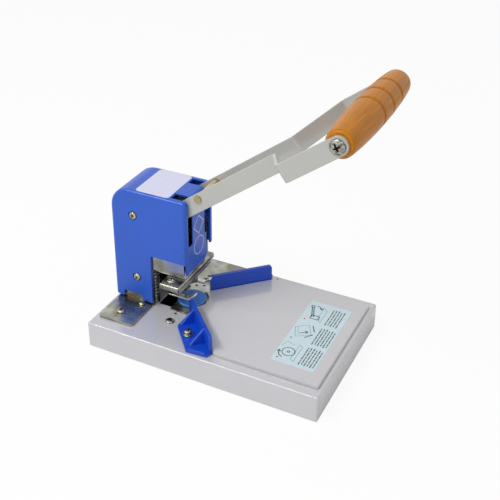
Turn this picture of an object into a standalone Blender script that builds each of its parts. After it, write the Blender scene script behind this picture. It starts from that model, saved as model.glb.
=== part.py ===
"""Bench corner rounder: a hand lever drives a curved blade down on a plastic cutting disc.

Metres, +Z up. Heights start at the surface that the feet stand on. X runs from the left end
of the base, under the head, to its right end, and the root empty puts the middle of the whole
length at X = 0. Front is -Y.
"""

from math import atan2, cos, pi, radians, sin, sqrt, tan

import bmesh
import bpy
from mathutils import Matrix, Vector

# Clearances and cuts
SEAT_GAP = 0.0003
HOLE_GAP = 0.0003
OVERRUN = 0.003

# Facets
ROUND_STEPS = 20
DISC_STEPS = 40
SCREW_STEPS = 12
GRIP_STEPS = 28
ARC_STEP = radians(15)
MERGE = 0.00001

# Base tray, folded from sheet
BASE_LENGTH = 0.260
BASE_WIDTH = 0.170
TRAY_TOP = 0.0302
TRAY_BOTTOM = 0.001
TRAY_SHEET = 0.0015
TRAY_FOLD = 0.002
SEAM_WIDTH = 0.0006
SEAM_HEIGHT = 0.024
SEAM_INSET = 0.0012
CHIP_SLOT_LEFT = 0.049
CHIP_SLOT_RIGHT = 0.065
CHIP_SLOT_HALF = 0.0206
SPARE_HOLE_RADIUS = 0.0018
SPARE_HOLE_PLACE = (0.0745, -0.0283)

# Bed plate, the raised lid that the paper lies on
BED_TOP = 0.0345
BED_SHEET = 0.0012
BED_FOLD = 0.0016
BED_RIGHT = 0.255
BED_HALF_WIDTH = 0.0735
BED_APEX = 0.070
BED_CORNER = 0.0015

# Feet, cover and the studs that hold them
FOOT_INSET_X = 0.016
FOOT_INSET_Y = 0.016
FOOT_RADIUS = 0.009
FOOT_TAPER = 0.001
FOOT_HEIGHT = 0.0047
FOOT_RECESS_RADIUS = 0.0045
FOOT_RECESS_DEPTH = 0.0022
COVER_SHEET = 0.0015
COVER_RIM = 0.008
COVER_CLEARANCE = 0.0005
STUD_RADIUS = 0.004
STUD_ROOT = 0.0005
FOOT_SCREW_RADIUS = 0.0015
FOOT_SCREW_REACH = 0.012

# Cutting disc and its screw
DISC_X = 0.079
DISC_RADIUS = 0.0155
DISC_CHAMFER = 0.0006
DISC_THICKNESS = 0.0022
DISC_STUB_RADIUS = 0.003
DISC_SCREW_RADIUS = 0.0015
DISC_SCREW_HEAD = 0.005
DISC_SCREW_HEAD_HEIGHT = 0.0022
DISC_SCREW_BITE = 0.003
DISC_GAP = 0.0015
DISC_GAP_SHIFT = 0.002

# Die plate under the disc
DIE_SHEET = 0.0015
DIE_LEFT = 0.066
DIE_FRONT = -0.0258
DIE_FRONT_RIGHT = 0.0865
DIE_WING_LEFT = 0.052
DIE_WING_START = 0.022
DIE_WING_REAR = 0.0815
DIE_WING_RIGHT = 0.1455
DIE_EDGE_GAP = 0.001
DIE_TONGUE_GAP = 0.0003
DIE_CORNER = 0.0015
DIE_HOLE_RADIUS = 0.0016
DIE_HOLES = ((0.0705, 0.0255), (0.0785, 0.0285))
PLATE_SCREW_PLACE = (0.0765, 0.044)

# 45 degree guides: U runs along the fence, V away from the paper
GUIDE_START = 0.0295
GUIDE_LENGTH = 0.0715
GUIDE_FRONT_TRIM = 0.0025
GUIDE_TOP = 0.0518
GUIDE_FENCE = 0.004
GUIDE_CORNER = 0.003
GUIDE_FLOOR = 0.003
GUIDE_RIB = 0.003
GUIDE_RIB_NEAR = 0.0195
GUIDE_RIB_FAR = 0.0545
GUIDE_RIB_REACH = 0.0185
GUIDE_RIB_DROP = 0.0015
GUIDE_RIM = 0.0022
GUIDE_RIM_HEIGHT = 0.005
GUIDE_RIM_END = 0.0022
GUIDE_RIM_LEDGE = 0.0003
GUIDE_FLOOR_CORNER = 0.002
GUIDE_NECK_U = 0.0194
GUIDE_NECK_V = 0.0218
GUIDE_TAIL_U = 0.0604
GUIDE_TAIL_V = 0.0248
GUIDE_TIP_U = 0.0755
GUIDE_TIP_V = 0.0075
GUIDE_SCREW_U = 0.0372
GUIDE_SCREW_V = 0.0157

# Side frames with foot flanges
FRAME_SHEET = 0.0024
FRAME_LEFT = 0.0045
FRAME_RIGHT = 0.0465
FRAME_ARM_RIGHT = 0.085
FRAME_ARM_BOTTOM = 0.077
FRAME_SHOULDER = 0.118
FRAME_TOP_SHARE = 0.70
FRAME_TOP_LEFT = 0.022
FRAME_TOP_RIGHT = 0.062
FRAME_LEFT_TOP_SHARE = 0.39
FRAME_INNER = 0.0243
FRAME_FLANGE_EDGE = 0.014
FRAME_CORNER = 0.003
FRAME_FLANGE_INSET = 0.0005
FRAME_SPARE_PLACE = (0.0212, 0.0385)
FRAME_SCREW_PLACE = (0.0229, 0.0545)
FRAME_RIVET_PLACE = (0.036, 0.0335)

# Housing, moulded plastic
HOUSING_LEFT = 0.0008
HOUSING_RIGHT = 0.0896
HOUSING_HALF = 0.0295
HOUSING_BOTTOM = 0.0345
HOUSING_TOP = 0.167
HOUSING_WALL = 0.0025
HOUSING_ROUND_LEFT = 0.022
HOUSING_ROUND_RIGHT = 0.005
HOUSING_EDGE = 0.0035
WINDOW_LEFT = 0.0469
WINDOW_TOP = 0.094
WINDOW_STRIP = 0.0015
END_BOTTOM = 0.081
END_RECESS = 0.001
REAR_WINDOW_FROM = 0.0167
NOTCH_LEFT = 0.0118
NOTCH_RIGHT = 0.0339
NOTCH_TOP = 0.0415
ARM_SLOT_INNER = 0.0129
ARM_SLOT_OUTER = 0.0236
ARM_SLOT_BOTTOM = 0.1118
ARM_SLOT_BACK = 0.070
UPPER_SCREW_X = 0.0274
UPPER_SCREW_SHARE = 0.49
LOWER_SCREW_X = 0.0286
LOWER_SCREW_Z = 0.0628
COUNTERBORE_RADIUS = 0.005
COUNTERBORE_DEPTH = 0.0013

# Lever
PIVOT_X = 0.024
PIVOT_Z = 0.110
LEVER_REST = radians(37.1)
LEVER_LOW = radians(10.6)
ARM_WIDTH = 0.018
ARM_SHEET = 0.003
ARM_INNER_Y = 0.0205
ARM_OUTER_Y = 0.0785
ARM_BEND_START = 0.2015
ARM_BEND_END = 0.2365
ARM_BEND_RADIUS = 0.004
GRIP_REACH = 0.297
PIVOT_PIN_RADIUS = 0.005
PIVOT_TUBE_RADIUS = 0.008
DRIVE_REACH = 0.031
DRIVE_PIN_RADIUS = 0.004
DRIVE_SLOT_PLAY = 0.0006
DRIVE_HEAD_RADIUS = 0.0058
SPACER_REACH = 0.098
SPACER_LIFT = 0.0034
SPACER_RADIUS = 0.004
SPACER_NECK = 0.003
SPACER_HEAD_RADIUS = 0.004
ROUND_END_SHARE = 0.96
RIVET_HEAD_HEIGHT = 0.0012

# Grip and its rod
GRIP_RADIUS = 0.0165
GRIP_END_RADIUS = 0.0125
GRIP_END_ROUND = 0.0015
GRIP_END_GAP = 0.0006
GRIP_SWELL_SHARE = 0.6
GRIP_GROOVE_SHARES = (0.44, 0.60, 0.77)
GRIP_STATION_SHARES = (0.04, 0.09, 0.15, 0.22, 0.30, 0.37, 0.52, 0.68, 0.85, 0.91, 0.96)
GROOVE_HALF = 0.0018
GROOVE_DEPTH = 0.0014
HANDLE_ROD_RADIUS = 0.0045
HANDLE_SCREW_RADIUS = 0.003
HANDLE_SCREW_HEAD = 0.007
HANDLE_SCREW_HEAD_HEIGHT = 0.0036
HANDLE_SCREW_REACH = 0.015

# Guide posts and return springs
POST_X = 0.0435
POST_Y = 0.0175
POST_RADIUS = 0.003
POST_TOP = 0.100
POST_CHAMFER = 0.0006
POST_SHOULDER_RADIUS = 0.0052
POST_SHOULDER_TOP = 0.034
POST_STUB_RADIUS = 0.0022
POST_FLARE = 0.0012
POST_FLARE_HEIGHT = 0.0012
SPRING_RADIUS = 0.0043
SPRING_WIRE = 0.0012
SPRING_CURLS = 9
SPRING_CURL_POINTS = 9

# Ram
RAM_LUG_BOTTOM = 0.074
RAM_LUG_HEIGHT = 0.014
RAM_LUG_WALL = 0.0019
RAM_LUG_OUT = 0.0235
RAM_SHELF_HALF = 0.022
RAM_SHELF_TOP = 0.080
RAM_SHELF_RIGHT = 0.084
RAM_WEB_HALF = 0.009
RAM_WEB_WALL = 0.005
RAM_WEB_ROUND = 0.006
BUSHING_WALL = 0.0015
BUSHING_FLANGE = 0.001
BUSHING_FLANGE_HEIGHT = 0.0015

# Crosshead, blade carrier and blade
CROSSHEAD_LEFT = 0.0624
CROSSHEAD_RIGHT = 0.0854
CROSSHEAD_HALF = 0.040
CROSSHEAD_BOTTOM = 0.065
CROSSHEAD_TOP = 0.0715
CROSSHEAD_CHAMFER = 0.001
CROSSHEAD_BOLT_PLACE = (0.076, 0.0145)
CARRIER_LEFT = 0.067
CARRIER_RIGHT = 0.0845
CARRIER_HALF = 0.0345
CARRIER_THICKNESS = 0.0037
CARRIER_CHAMFER = 0.0006
CARRIER_SCREW_PLACE = (0.0718, 0.0305)
BLADE_RADIUS = 0.010
BLADE_THICKNESS = 0.002
BLADE_TAIL = 0.005
BLADE_GRIND = 0.0015
BLADE_SEAT_DEPTH = 0.0022

# Stripper fork
STRIPPER_SHEET = 0.0016
STRIPPER_BEND = 0.0015
STRIPPER_FOOT_LEFT = 0.014
STRIPPER_RISER = 0.033
STRIPPER_TOP = 0.0466
STRIPPER_TOE_START = 0.085
STRIPPER_TOE_RIGHT = 0.093
STRIPPER_TOE_TOP = 0.053
STRIPPER_HALF = 0.020
STRIPPER_NECK_HALF = 0.011
STRIPPER_NECK_END = 0.054
STRIPPER_SHOULDER_END = 0.0615
STRIPPER_PRONG = 0.006
STRIPPER_FORK_LEFT = 0.069
STRIPPER_SCREW_X = 0.022

# Fasteners
PAN_RADIUS = 0.0047
PAN_HEIGHT = 0.0028
PAN_SHANK = 0.0022
HOUSING_HEAD_RADIUS = 0.004
HOUSING_HEAD_HEIGHT = 0.0022
HOUSING_SHANK_END = 0.014
BOLT_RADIUS = 0.0036
BOLT_HEIGHT = 0.004
DOME_RADIUS = 0.0033
DOME_HEIGHT = 0.0022
GUIDE_HEAD_RADIUS = 0.00415
GUIDE_HEAD_HEIGHT = 0.0042
GUIDE_HEAD_RIM_SHARE = 0.7
WASHER_RADIUS = 0.0055
WASHER_HEIGHT = 0.0012
SHANK_UNDER_SHEET = 0.004
HEAD_RIM_SHARE = 0.35
RECESS_LENGTH_SHARE = 1.15
RECESS_WIDTH_SHARE = 0.26
RECESS_TIP_SHARE = 0.8
RECESS_DEPTH_SHARE = 0.55
FRAME_SPACER_RADIUS = 0.005

# Heights and reaches that follow from the sizes above
DIE_BOTTOM = TRAY_TOP + SEAT_GAP
DIE_TOP = DIE_BOTTOM + DIE_SHEET
FLANGE_TOP = TRAY_TOP + SEAT_GAP + FRAME_SHEET
FRAME_OUTER = FRAME_INNER + FRAME_SHEET
FRAME_FLANGE_OUT = BASE_WIDTH / 2 - FRAME_FLANGE_EDGE
HEAD_ROOM = HOUSING_TOP - PIVOT_Z
FRAME_TOP = PIVOT_Z + HEAD_ROOM * FRAME_TOP_SHARE
FRAME_LEFT_TOP = PIVOT_Z + HEAD_ROOM * FRAME_LEFT_TOP_SHARE
UPPER_SCREW_Z = PIVOT_Z + HEAD_ROOM * UPPER_SCREW_SHARE
HOUSING_SCREWS = (
    ("upper", UPPER_SCREW_X, UPPER_SCREW_Z), ("lower", LOWER_SCREW_X, LOWER_SCREW_Z))
TRAY_UNDER = TRAY_TOP - TRAY_SHEET
GRIP_X = PIVOT_X + GRIP_REACH * cos(LEVER_REST)
OVERALL_LENGTH = GRIP_X + GRIP_RADIUS
RAM_STROKE = DRIVE_REACH * (sin(LEVER_REST) - sin(LEVER_LOW))
ARM_INNER_FACE = ARM_INNER_Y - ARM_SHEET / 2
ARM_OUTER_FACE = ARM_INNER_Y + ARM_SHEET / 2
FRAME_SPACER_HALF = FRAME_INNER - SEAT_GAP
BLADE_EDGE = BED_TOP + SEAT_GAP + RAM_STROKE
CARRIER_TOP = CROSSHEAD_BOTTOM - SEAT_GAP
CARRIER_BOTTOM = CARRIER_TOP - CARRIER_THICKNESS
SIDES = (("front", -1), ("rear", 1))
DIAGONAL = sqrt(0.5)
MILLIMETRE = 0.001


def clear_scene():
    """Remove what the start-up scene holds."""
    for obj in list(bpy.data.objects):
        bpy.data.objects.remove(obj, do_unlink=True)


def new_collection(name):
    """Make a collection under the scene."""
    collection = bpy.data.collections.new(name)
    bpy.context.scene.collection.children.link(collection)
    return collection


def new_empty(name, parent, location, turn):
    """Add an empty that carries pieces, turned about Y."""
    empty = bpy.data.objects.new(name, None)
    empty.parent = parent
    empty.location = location
    empty.rotation_euler = (0, turn, 0)
    bpy.data.collections["corner_rounder"].objects.link(empty)
    return empty


def new_material(name, colour, roughness, metallic):
    """Make a Principled BSDF material."""
    material = bpy.data.materials.new(name)
    material.use_nodes = True
    shader = material.node_tree.nodes["Principled BSDF"]
    shader.inputs["Base Color"].default_value = (*colour, 1)
    shader.inputs["Roughness"].default_value = roughness
    shader.inputs["Metallic"].default_value = metallic
    return material


def make_materials():
    """Make one material for each kind of surface."""
    return {
        "paint": new_material("grey_paint", (0.62, 0.61, 0.66), 0.45, 0),
        "blue": new_material("blue_plastic", (0.04, 0.12, 0.55), 0.4, 0),
        "disc": new_material("disc_plastic", (0.03, 0.12, 0.42), 0.45, 0),
        "zinc": new_material("zinc_steel", (0.45, 0.45, 0.40), 0.35, 1),
        "steel": new_material("ground_steel", (0.62, 0.62, 0.62), 0.25, 1),
        "arm": new_material("arm_paint", (0.55, 0.55, 0.52), 0.4, 0),
        "wood": new_material("varnished_wood", (0.55, 0.22, 0.03), 0.3, 0),
        "bronze": new_material("bronze", (0.55, 0.36, 0.16), 0.4, 1),
        "brass": new_material("brassy_zinc", (0.70, 0.58, 0.36), 0.3, 1),
        "rubber": new_material("black_rubber", (0.02, 0.02, 0.02), 0.8, 0),
        "cover": new_material("cover_plastic", (0.05, 0.05, 0.05), 0.6, 0),
    }


def add_object(name, mesh, parent, material=None):
    """Link a mesh as a part, or as a hidden cutter where no material is given."""
    obj = bpy.data.objects.new(name, mesh)
    obj.parent = parent
    if material is None:
        bpy.data.collections["cutters"].objects.link(obj)
        obj.hide_render = True
        obj.display_type = "WIRE"
    else:
        bpy.data.collections["corner_rounder"].objects.link(obj)
        mesh.materials.clear()
        mesh.materials.append(material)
    return obj


def mesh_of(name, bm):
    """Turn a bmesh into a mesh."""
    bmesh.ops.recalc_face_normals(bm, faces=bm.faces)
    mesh = bpy.data.meshes.new(name)
    bm.to_mesh(mesh)
    bm.free()
    return mesh


def box(name, low, high, parent, material=None):
    """A box between two corners, with its origin in its middle."""
    low, high = Vector(low), Vector(high)
    bm = bmesh.new()
    bmesh.ops.create_cube(bm, size=1)
    bmesh.ops.scale(bm, vec=high - low, verts=bm.verts)
    obj = add_object(name, mesh_of(name, bm), parent, material)
    obj.location = (low + high) / 2
    return obj


def rod(name, radius, start, end, parent, material=None, steps=ROUND_STEPS):
    """A cylinder between two points."""
    start, end = Vector(start), Vector(end)
    bm = bmesh.new()
    length = (end - start).length
    bmesh.ops.create_cone(
        bm, cap_ends=True, segments=steps, radius1=radius, radius2=radius, depth=length)
    mesh = mesh_of(name, bm)
    mesh.shade_smooth()
    mesh.set_sharp_from_angle(angle=radians(40))
    obj = add_object(name, mesh, parent, material)
    obj.location = (start + end) / 2
    obj.rotation_euler = (end - start).to_track_quat("Z", "Y").to_euler()
    return obj


def rods(name, places, low, high, parent, steps=ROUND_STEPS):
    """One cutter of upright cylinders, from (x, y, radius) places."""
    bm = bmesh.new()
    for x, y, radius in places:
        made = bmesh.ops.create_cone(
            bm, cap_ends=True, segments=steps, radius1=radius, radius2=radius, depth=high - low)
        bmesh.ops.translate(bm, verts=made["verts"], vec=(x, y, (low + high) / 2))
    return add_object(name, mesh_of(name, bm), parent)


def turned(name, profile, parent, material=None, steps=ROUND_STEPS, closed=False):
    """Turn a profile of (radius, height) points, listed down its outer side, about Z."""
    mesh = bpy.data.meshes.new(name)
    edges = [(i, i + 1) for i in range(len(profile) - 1)]
    if closed:
        edges.append((len(profile) - 1, 0))
    mesh.from_pydata([(r, 0, z) for r, z in profile], edges, [])
    obj = add_object(name, mesh, parent, material)
    screw = obj.modifiers.new("turn", "SCREW")
    screw.angle = 2 * pi
    screw.steps = steps
    screw.render_steps = steps
    screw.use_merge_vertices = True
    screw.merge_threshold = MERGE
    screw.use_smooth_shade = True
    return obj


def rounded(corners):
    """An outline from (x, y, radius) corners, each radius an arc."""
    outline = []
    for i, (x, y, radius) in enumerate(corners):
        here = Vector((x, y))
        back = (Vector(corners[i - 1][:2]) - here).normalized()
        ahead = (Vector(corners[(i + 1) % len(corners)][:2]) - here).normalized()
        if radius == 0:
            outline.append(here)
            continue
        half = back.angle(ahead) / 2
        centre = here + (back + ahead).normalized() * radius / sin(half)
        first = here + back * radius / tan(half) - centre
        last = here + ahead * radius / tan(half) - centre
        sweep = first.angle(last)
        steps = max(1, round(sweep / ARC_STEP))
        turn = 1 if first.cross(last) > 0 else -1
        for k in range(steps + 1):
            outline.append(centre + Matrix.Rotation(turn * sweep * k / steps, 2) @ first)
    return [(p.x, p.y) for p in outline]


def ribbon(points, thickness, bend_radius):
    """The outline of a bent sheet whose middle line runs through the points."""
    left, right = [], []
    for i, point in enumerate(points):
        here = Vector(point)
        back = (here - Vector(points[i - 1])).normalized() if i else None
        ahead = (Vector(points[i + 1]) - here).normalized() if i < len(points) - 1 else None
        if back is None or ahead is None:
            stops = [(here, back or ahead)]
        else:
            radius = bend_radius + thickness / 2
            angle = back.angle(ahead)
            turn = 1 if back.cross(ahead) > 0 else -1
            start = here - back * radius * tan(angle / 2)
            centre = start + Vector((-back.y, back.x)) * turn * radius
            steps = max(1, round(angle / ARC_STEP))
            stops = []
            for k in range(steps + 1):
                swing = Matrix.Rotation(turn * angle * k / steps, 2)
                stops.append((centre + swing @ (start - centre), swing @ back))
        for place, way in stops:
            side = Vector((-way.y, way.x)) * thickness / 2
            left.append(tuple(place + side))
            right.append(tuple(place - side))
    return left + right[::-1]


def prism(name, outline, low, high, parent, material=None, plane="XY"):
    """Extrude an outline between two levels, along Z, or along Y for plane XZ."""
    curve = bpy.data.curves.new(name, "CURVE")
    curve.dimensions = "2D"
    curve.fill_mode = "BOTH"
    curve.extrude = (high - low) / 2
    spline = curve.splines.new("POLY")
    spline.points.add(len(outline) - 1)
    for point, (a, b) in zip(spline.points, outline):
        point.co = (a, b, 0, 1)
    spline.use_cyclic_u = True
    guide = bpy.data.objects.new(name, curve)
    bpy.data.collections["cutters"].objects.link(guide)
    mesh = bpy.data.meshes.new_from_object(
        guide.evaluated_get(bpy.context.evaluated_depsgraph_get()))
    bpy.data.objects.remove(guide, do_unlink=True)
    bpy.data.curves.remove(curve)
    mesh.name = name
    bm = bmesh.new()
    bm.from_mesh(mesh)
    bmesh.ops.remove_doubles(bm, verts=bm.verts, dist=MERGE)
    bmesh.ops.dissolve_limit(bm, angle_limit=radians(1), verts=bm.verts, edges=bm.edges)
    bmesh.ops.recalc_face_normals(bm, faces=bm.faces)
    bm.to_mesh(mesh)
    bm.free()
    obj = add_object(name, mesh, parent, material)
    middle = (low + high) / 2
    if plane == "XZ":
        obj.rotation_euler = (pi / 2, 0, 0)
        obj.location = (0, middle, 0)
    else:
        obj.location = (0, 0, middle)
    return obj


def open_side(obj, way):
    """Take off the faces that look along a way, so that Solidify makes an open shell."""
    bm = bmesh.new()
    bm.from_mesh(obj.data)
    faces = [face for face in bm.faces if face.normal.dot(Vector(way)) > 1 - MERGE]
    bmesh.ops.delete(bm, geom=faces, context="FACES")
    bm.to_mesh(obj.data)
    bm.free()


def bevel(obj, width, segments=1, angle=radians(30)):
    """Round or chamfer the sharp edges."""
    modifier = obj.modifiers.new("edges", "BEVEL")
    modifier.width = width
    modifier.segments = segments
    modifier.limit_method = "ANGLE"
    modifier.angle_limit = angle
    return modifier


def solidify(obj, thickness):
    """Thicken an open surface inwards."""
    modifier = obj.modifiers.new("wall", "SOLIDIFY")
    modifier.thickness = thickness
    modifier.offset = -1
    modifier.use_even_offset = True
    return modifier


def boolean(obj, other, operation="DIFFERENCE"):
    """Cut by, join with or keep what is inside another object."""
    modifier = obj.modifiers.new(other.name, "BOOLEAN")
    modifier.operation = operation
    modifier.object = other
    modifier.solver = "EXACT"
    return modifier


def mirrored(a, b):
    """Two signed levels in rising order."""
    return (a, b) if a < b else (b, a)


def set_axis(obj, location, way):
    """Place a turned piece with its top looking along a way."""
    obj.location = location
    obj.rotation_euler = Vector(way).to_track_quat("Z", "Y").to_euler()


def screw(name, head, height, shank, reach, place, way, parent, material, recess=True):
    """A pan-head screw: its head's flat underside lies at the place, its top looks the way."""
    rim = height * HEAD_RIM_SHARE
    crown = [(head * sin(a), rim + (height - rim) * cos(a)) for a in (0, pi / 4, pi / 2)]
    profile = crown + [(head, 0), (shank, 0), (shank, -reach), (0, -reach)]
    obj = turned(name, profile, parent, material, SCREW_STEPS)
    set_axis(obj, place, way)
    if recess:
        long = head * RECESS_LENGTH_SHARE / 2
        slim = head * RECESS_WIDTH_SHARE / 2
        tip = slim * RECESS_TIP_SHARE
        cross = [
            (long, tip), (slim, slim), (tip, long), (-tip, long), (-slim, slim), (-long, tip),
            (-long, -tip), (-slim, -slim), (-tip, -long), (tip, -long), (slim, -slim),
            (long, -tip)]
        depth = height * RECESS_DEPTH_SHARE
        tool = prism(name + "_recess", cross, height - depth, height + OVERRUN, obj)
        boolean(obj, tool)
    return obj


def guide_point(side, u, v):
    """A place on the base from a guide's own U and V."""
    along = (GUIDE_START + u) * DIAGONAL
    away = v * DIAGONAL
    return (BED_APEX + along - away, side * (along + away))


def foot_places():
    """Names and places of the four feet."""
    for end, x in (("left", FOOT_INSET_X), ("right", BASE_LENGTH - FOOT_INSET_X)):
        for side, sign in SIDES:
            yield side + "_" + end, x, sign * (BASE_WIDTH / 2 - FOOT_INSET_Y)


def tray_holes():
    """Places and radii of the holes in the tray's top."""
    clear = PAN_SHANK + HOLE_GAP
    holes = [(DISC_X, 0, DISC_STUB_RADIUS + HOLE_GAP), (STRIPPER_SCREW_X, 0, clear)]
    holes.append((*SPARE_HOLE_PLACE, SPARE_HOLE_RADIUS))
    for _, sign in SIDES:
        holes.append((POST_X, sign * POST_Y, POST_STUB_RADIUS + HOLE_GAP))
        for x, y in (FRAME_SCREW_PLACE, FRAME_RIVET_PLACE, PLATE_SCREW_PLACE):
            holes.append((x, sign * y, clear))
        holes.append((*guide_point(sign, GUIDE_SCREW_U, GUIDE_SCREW_V), clear))
    return holes


def make_base_tray(root, looks):
    """Folded tray with its chip slot, corner seams, holes and four welded studs."""
    half = BASE_WIDTH / 2
    tray = box("base_tray", (0, -half, TRAY_BOTTOM), (BASE_LENGTH, half, TRAY_TOP), root,
               looks["paint"])
    open_side(tray, (0, 0, -1))
    bevel(tray, TRAY_FOLD, 3)
    solidify(tray, TRAY_SHEET)
    slot = box("chip_slot", (CHIP_SLOT_LEFT, -CHIP_SLOT_HALF, TRAY_UNDER - OVERRUN),
               (CHIP_SLOT_RIGHT, CHIP_SLOT_HALF, TRAY_TOP + OVERRUN), root)
    boolean(tray, slot)
    drill = rods("tray_drill", tray_holes(), TRAY_UNDER - OVERRUN, TRAY_TOP + OVERRUN, root,
                 SCREW_STEPS)
    boolean(tray, drill)
    seam_y = half - TRAY_FOLD - SEAM_INSET
    for end, x in (("left", 0), ("right", BASE_LENGTH)):
        for side, sign in SIDES:
            low, high = mirrored(sign * seam_y, sign * (seam_y + SEAM_WIDTH))
            seam = box("seam_" + side + end, (x - OVERRUN, low, TRAY_BOTTOM - OVERRUN),
                       (x + OVERRUN, high, SEAM_HEIGHT), root)
            boolean(tray, seam)
    cover_top = FOOT_HEIGHT + SEAT_GAP + COVER_SHEET
    for name, x, y in foot_places():
        profile = [
            (STUD_RADIUS, TRAY_UNDER + STUD_ROOT), (STUD_RADIUS, cover_top + SEAT_GAP),
            (FOOT_SCREW_RADIUS + HOLE_GAP, cover_top + SEAT_GAP),
            (FOOT_SCREW_RADIUS + HOLE_GAP, TRAY_UNDER + STUD_ROOT)]
        stud = turned("stud_" + name, profile, root, None, SCREW_STEPS, True)
        stud.location = (x, y, 0)
        boolean(tray, stud, "UNION")


def make_bed_plate(root, looks):
    """Raised lid with two 45 degree edges and a round cut-out for the disc."""
    knee = BED_APEX + BED_HALF_WIDTH
    half = BED_HALF_WIDTH
    corner = BED_CORNER
    outline = rounded([
        (BED_APEX, 0, 0), (knee, -half, corner), (BED_RIGHT, -half, corner),
        (BED_RIGHT, half, corner), (knee, half, corner)])
    bed = prism("bed_plate", outline, TRAY_TOP + SEAT_GAP, BED_TOP, root, looks["paint"])
    open_side(bed, (0, 0, -1))
    bevel(bed, BED_FOLD, 2)
    solidify(bed, BED_SHEET)
    centre = DISC_X + DISC_GAP_SHIFT
    cutout = rod("disc_cutout", DISC_RADIUS + DISC_GAP, (centre, 0, TRAY_TOP),
                 (centre, 0, BED_TOP + OVERRUN), root, None, DISC_STEPS)
    boolean(bed, cutout)


def make_feet_and_cover(root, looks):
    """Rubber feet, their screws and the plastic cover that keeps the chips in."""
    edge = TRAY_SHEET + COVER_CLEARANCE
    half = BASE_WIDTH / 2 - edge
    low = FOOT_HEIGHT + SEAT_GAP
    cover = box("bottom_cover", (edge, -half, low), (BASE_LENGTH - edge, half, low + COVER_RIM),
                root, looks["cover"])
    open_side(cover, (0, 0, 1))
    bevel(cover, TRAY_FOLD, 2)
    solidify(cover, COVER_SHEET)
    clear = FOOT_SCREW_RADIUS + HOLE_GAP
    places = [(x, y, clear) for _, x, y in foot_places()]
    drill = rods("cover_drill", places, low - OVERRUN, low + COVER_SHEET + OVERRUN, root,
                 SCREW_STEPS)
    boolean(cover, drill)
    for name, x, y in foot_places():
        profile = [
            (FOOT_RADIUS, FOOT_HEIGHT), (FOOT_RADIUS - FOOT_TAPER, 0),
            (FOOT_RECESS_RADIUS, 0), (FOOT_RECESS_RADIUS, FOOT_RECESS_DEPTH),
            (clear, FOOT_RECESS_DEPTH), (clear, FOOT_HEIGHT)]
        foot = turned("foot_" + name, profile, root, looks["rubber"], ROUND_STEPS, True)
        foot.location = (x, y, 0)
        head = FOOT_RECESS_RADIUS - 2 * HOLE_GAP
        screw("foot_screw_" + name, head, FOOT_RECESS_DEPTH - 2 * SEAT_GAP, FOOT_SCREW_RADIUS,
              FOOT_SCREW_REACH, (x, y, FOOT_RECESS_DEPTH - SEAT_GAP), (0, 0, -1), root,
              looks["zinc"], False)


def die_outline():
    """Outline of the die plate: edges beside the bed, a round tongue under the disc."""
    shift = BED_APEX - DIE_EDGE_GAP
    radius = DISC_RADIUS + DIE_TONGUE_GAP
    reach = DISC_X - shift
    meet = (reach + sqrt(2 * radius * radius - reach * reach)) / 2
    start = atan2(-meet, shift + meet - DISC_X)
    tongue = []
    for k in range(ROUND_STEPS + 1):
        angle = start * (1 - 2 * k / ROUND_STEPS)
        tongue.append((DISC_X + radius * cos(angle), radius * sin(angle), 0))
    wing_edge = DIE_WING_RIGHT - shift
    return rounded([
        (DIE_LEFT, DIE_FRONT, DIE_CORNER), (DIE_FRONT_RIGHT, DIE_FRONT, DIE_CORNER),
        (DIE_FRONT_RIGHT, shift - DIE_FRONT_RIGHT, 0), *tongue,
        (DIE_WING_RIGHT, wing_edge, DIE_CORNER), (DIE_WING_RIGHT, DIE_WING_REAR, DIE_CORNER),
        (DIE_WING_LEFT, DIE_WING_REAR, DIE_CORNER), (DIE_WING_LEFT, DIE_WING_START, DIE_CORNER),
        (DIE_LEFT, DIE_WING_START, 0)])


def make_die_plate(root, looks):
    """Zinc-plated sheet under the disc, with a wing to the rear edge."""
    plate = prism("die_plate", die_outline(), DIE_BOTTOM, DIE_TOP, root, looks["zinc"])
    clear = PAN_SHANK + HOLE_GAP
    places = [(DISC_X, 0, DISC_STUB_RADIUS + HOLE_GAP), (*PLATE_SCREW_PLACE, clear)]
    places += [(x, y, DIE_HOLE_RADIUS) for x, y in DIE_HOLES]
    places.append((*guide_point(1, GUIDE_SCREW_U, GUIDE_SCREW_V), clear))
    boolean(plate, rods("die_drill", places, DIE_BOTTOM - OVERRUN, DIE_TOP + OVERRUN, root,
                        SCREW_STEPS))
    for side, sign in SIDES:
        seat = DIE_TOP if sign > 0 else TRAY_TOP
        x, y = PLATE_SCREW_PLACE
        screw("plate_screw_" + side, PAN_RADIUS, PAN_HEIGHT, PAN_SHANK,
              seat + SEAT_GAP - TRAY_UNDER + SHANK_UNDER_SHEET,
              (x, sign * y, seat + SEAT_GAP), (0, 0, 1), root, looks["zinc"])


def make_cutting_disc(root, looks):
    """Turning pad flush with the bed, on a stub through the plates, and its screw."""
    axis = new_empty("disc_axis", root, (DISC_X, 0, 0), 0)
    under = BED_TOP - DISC_THICKNESS
    stub_end = TRAY_UNDER - SEAT_GAP
    bore = DISC_SCREW_RADIUS + HOLE_GAP
    bore_top = stub_end + DISC_SCREW_BITE + SEAT_GAP
    profile = [
        (0, BED_TOP), (DISC_RADIUS - DISC_CHAMFER, BED_TOP), (DISC_RADIUS, BED_TOP - DISC_CHAMFER),
        (DISC_RADIUS, under), (DISC_STUB_RADIUS, under), (DISC_STUB_RADIUS, stub_end),
        (bore, stub_end), (bore, bore_top), (0, bore_top)]
    turned("cutting_disc", profile, axis, looks["disc"], DISC_STEPS)
    screw("disc_screw", DISC_SCREW_HEAD, DISC_SCREW_HEAD_HEIGHT, DISC_SCREW_RADIUS,
          DISC_SCREW_BITE, (0, 0, stub_end - SEAT_GAP), (0, 0, -1), axis, looks["zinc"], False)


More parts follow.
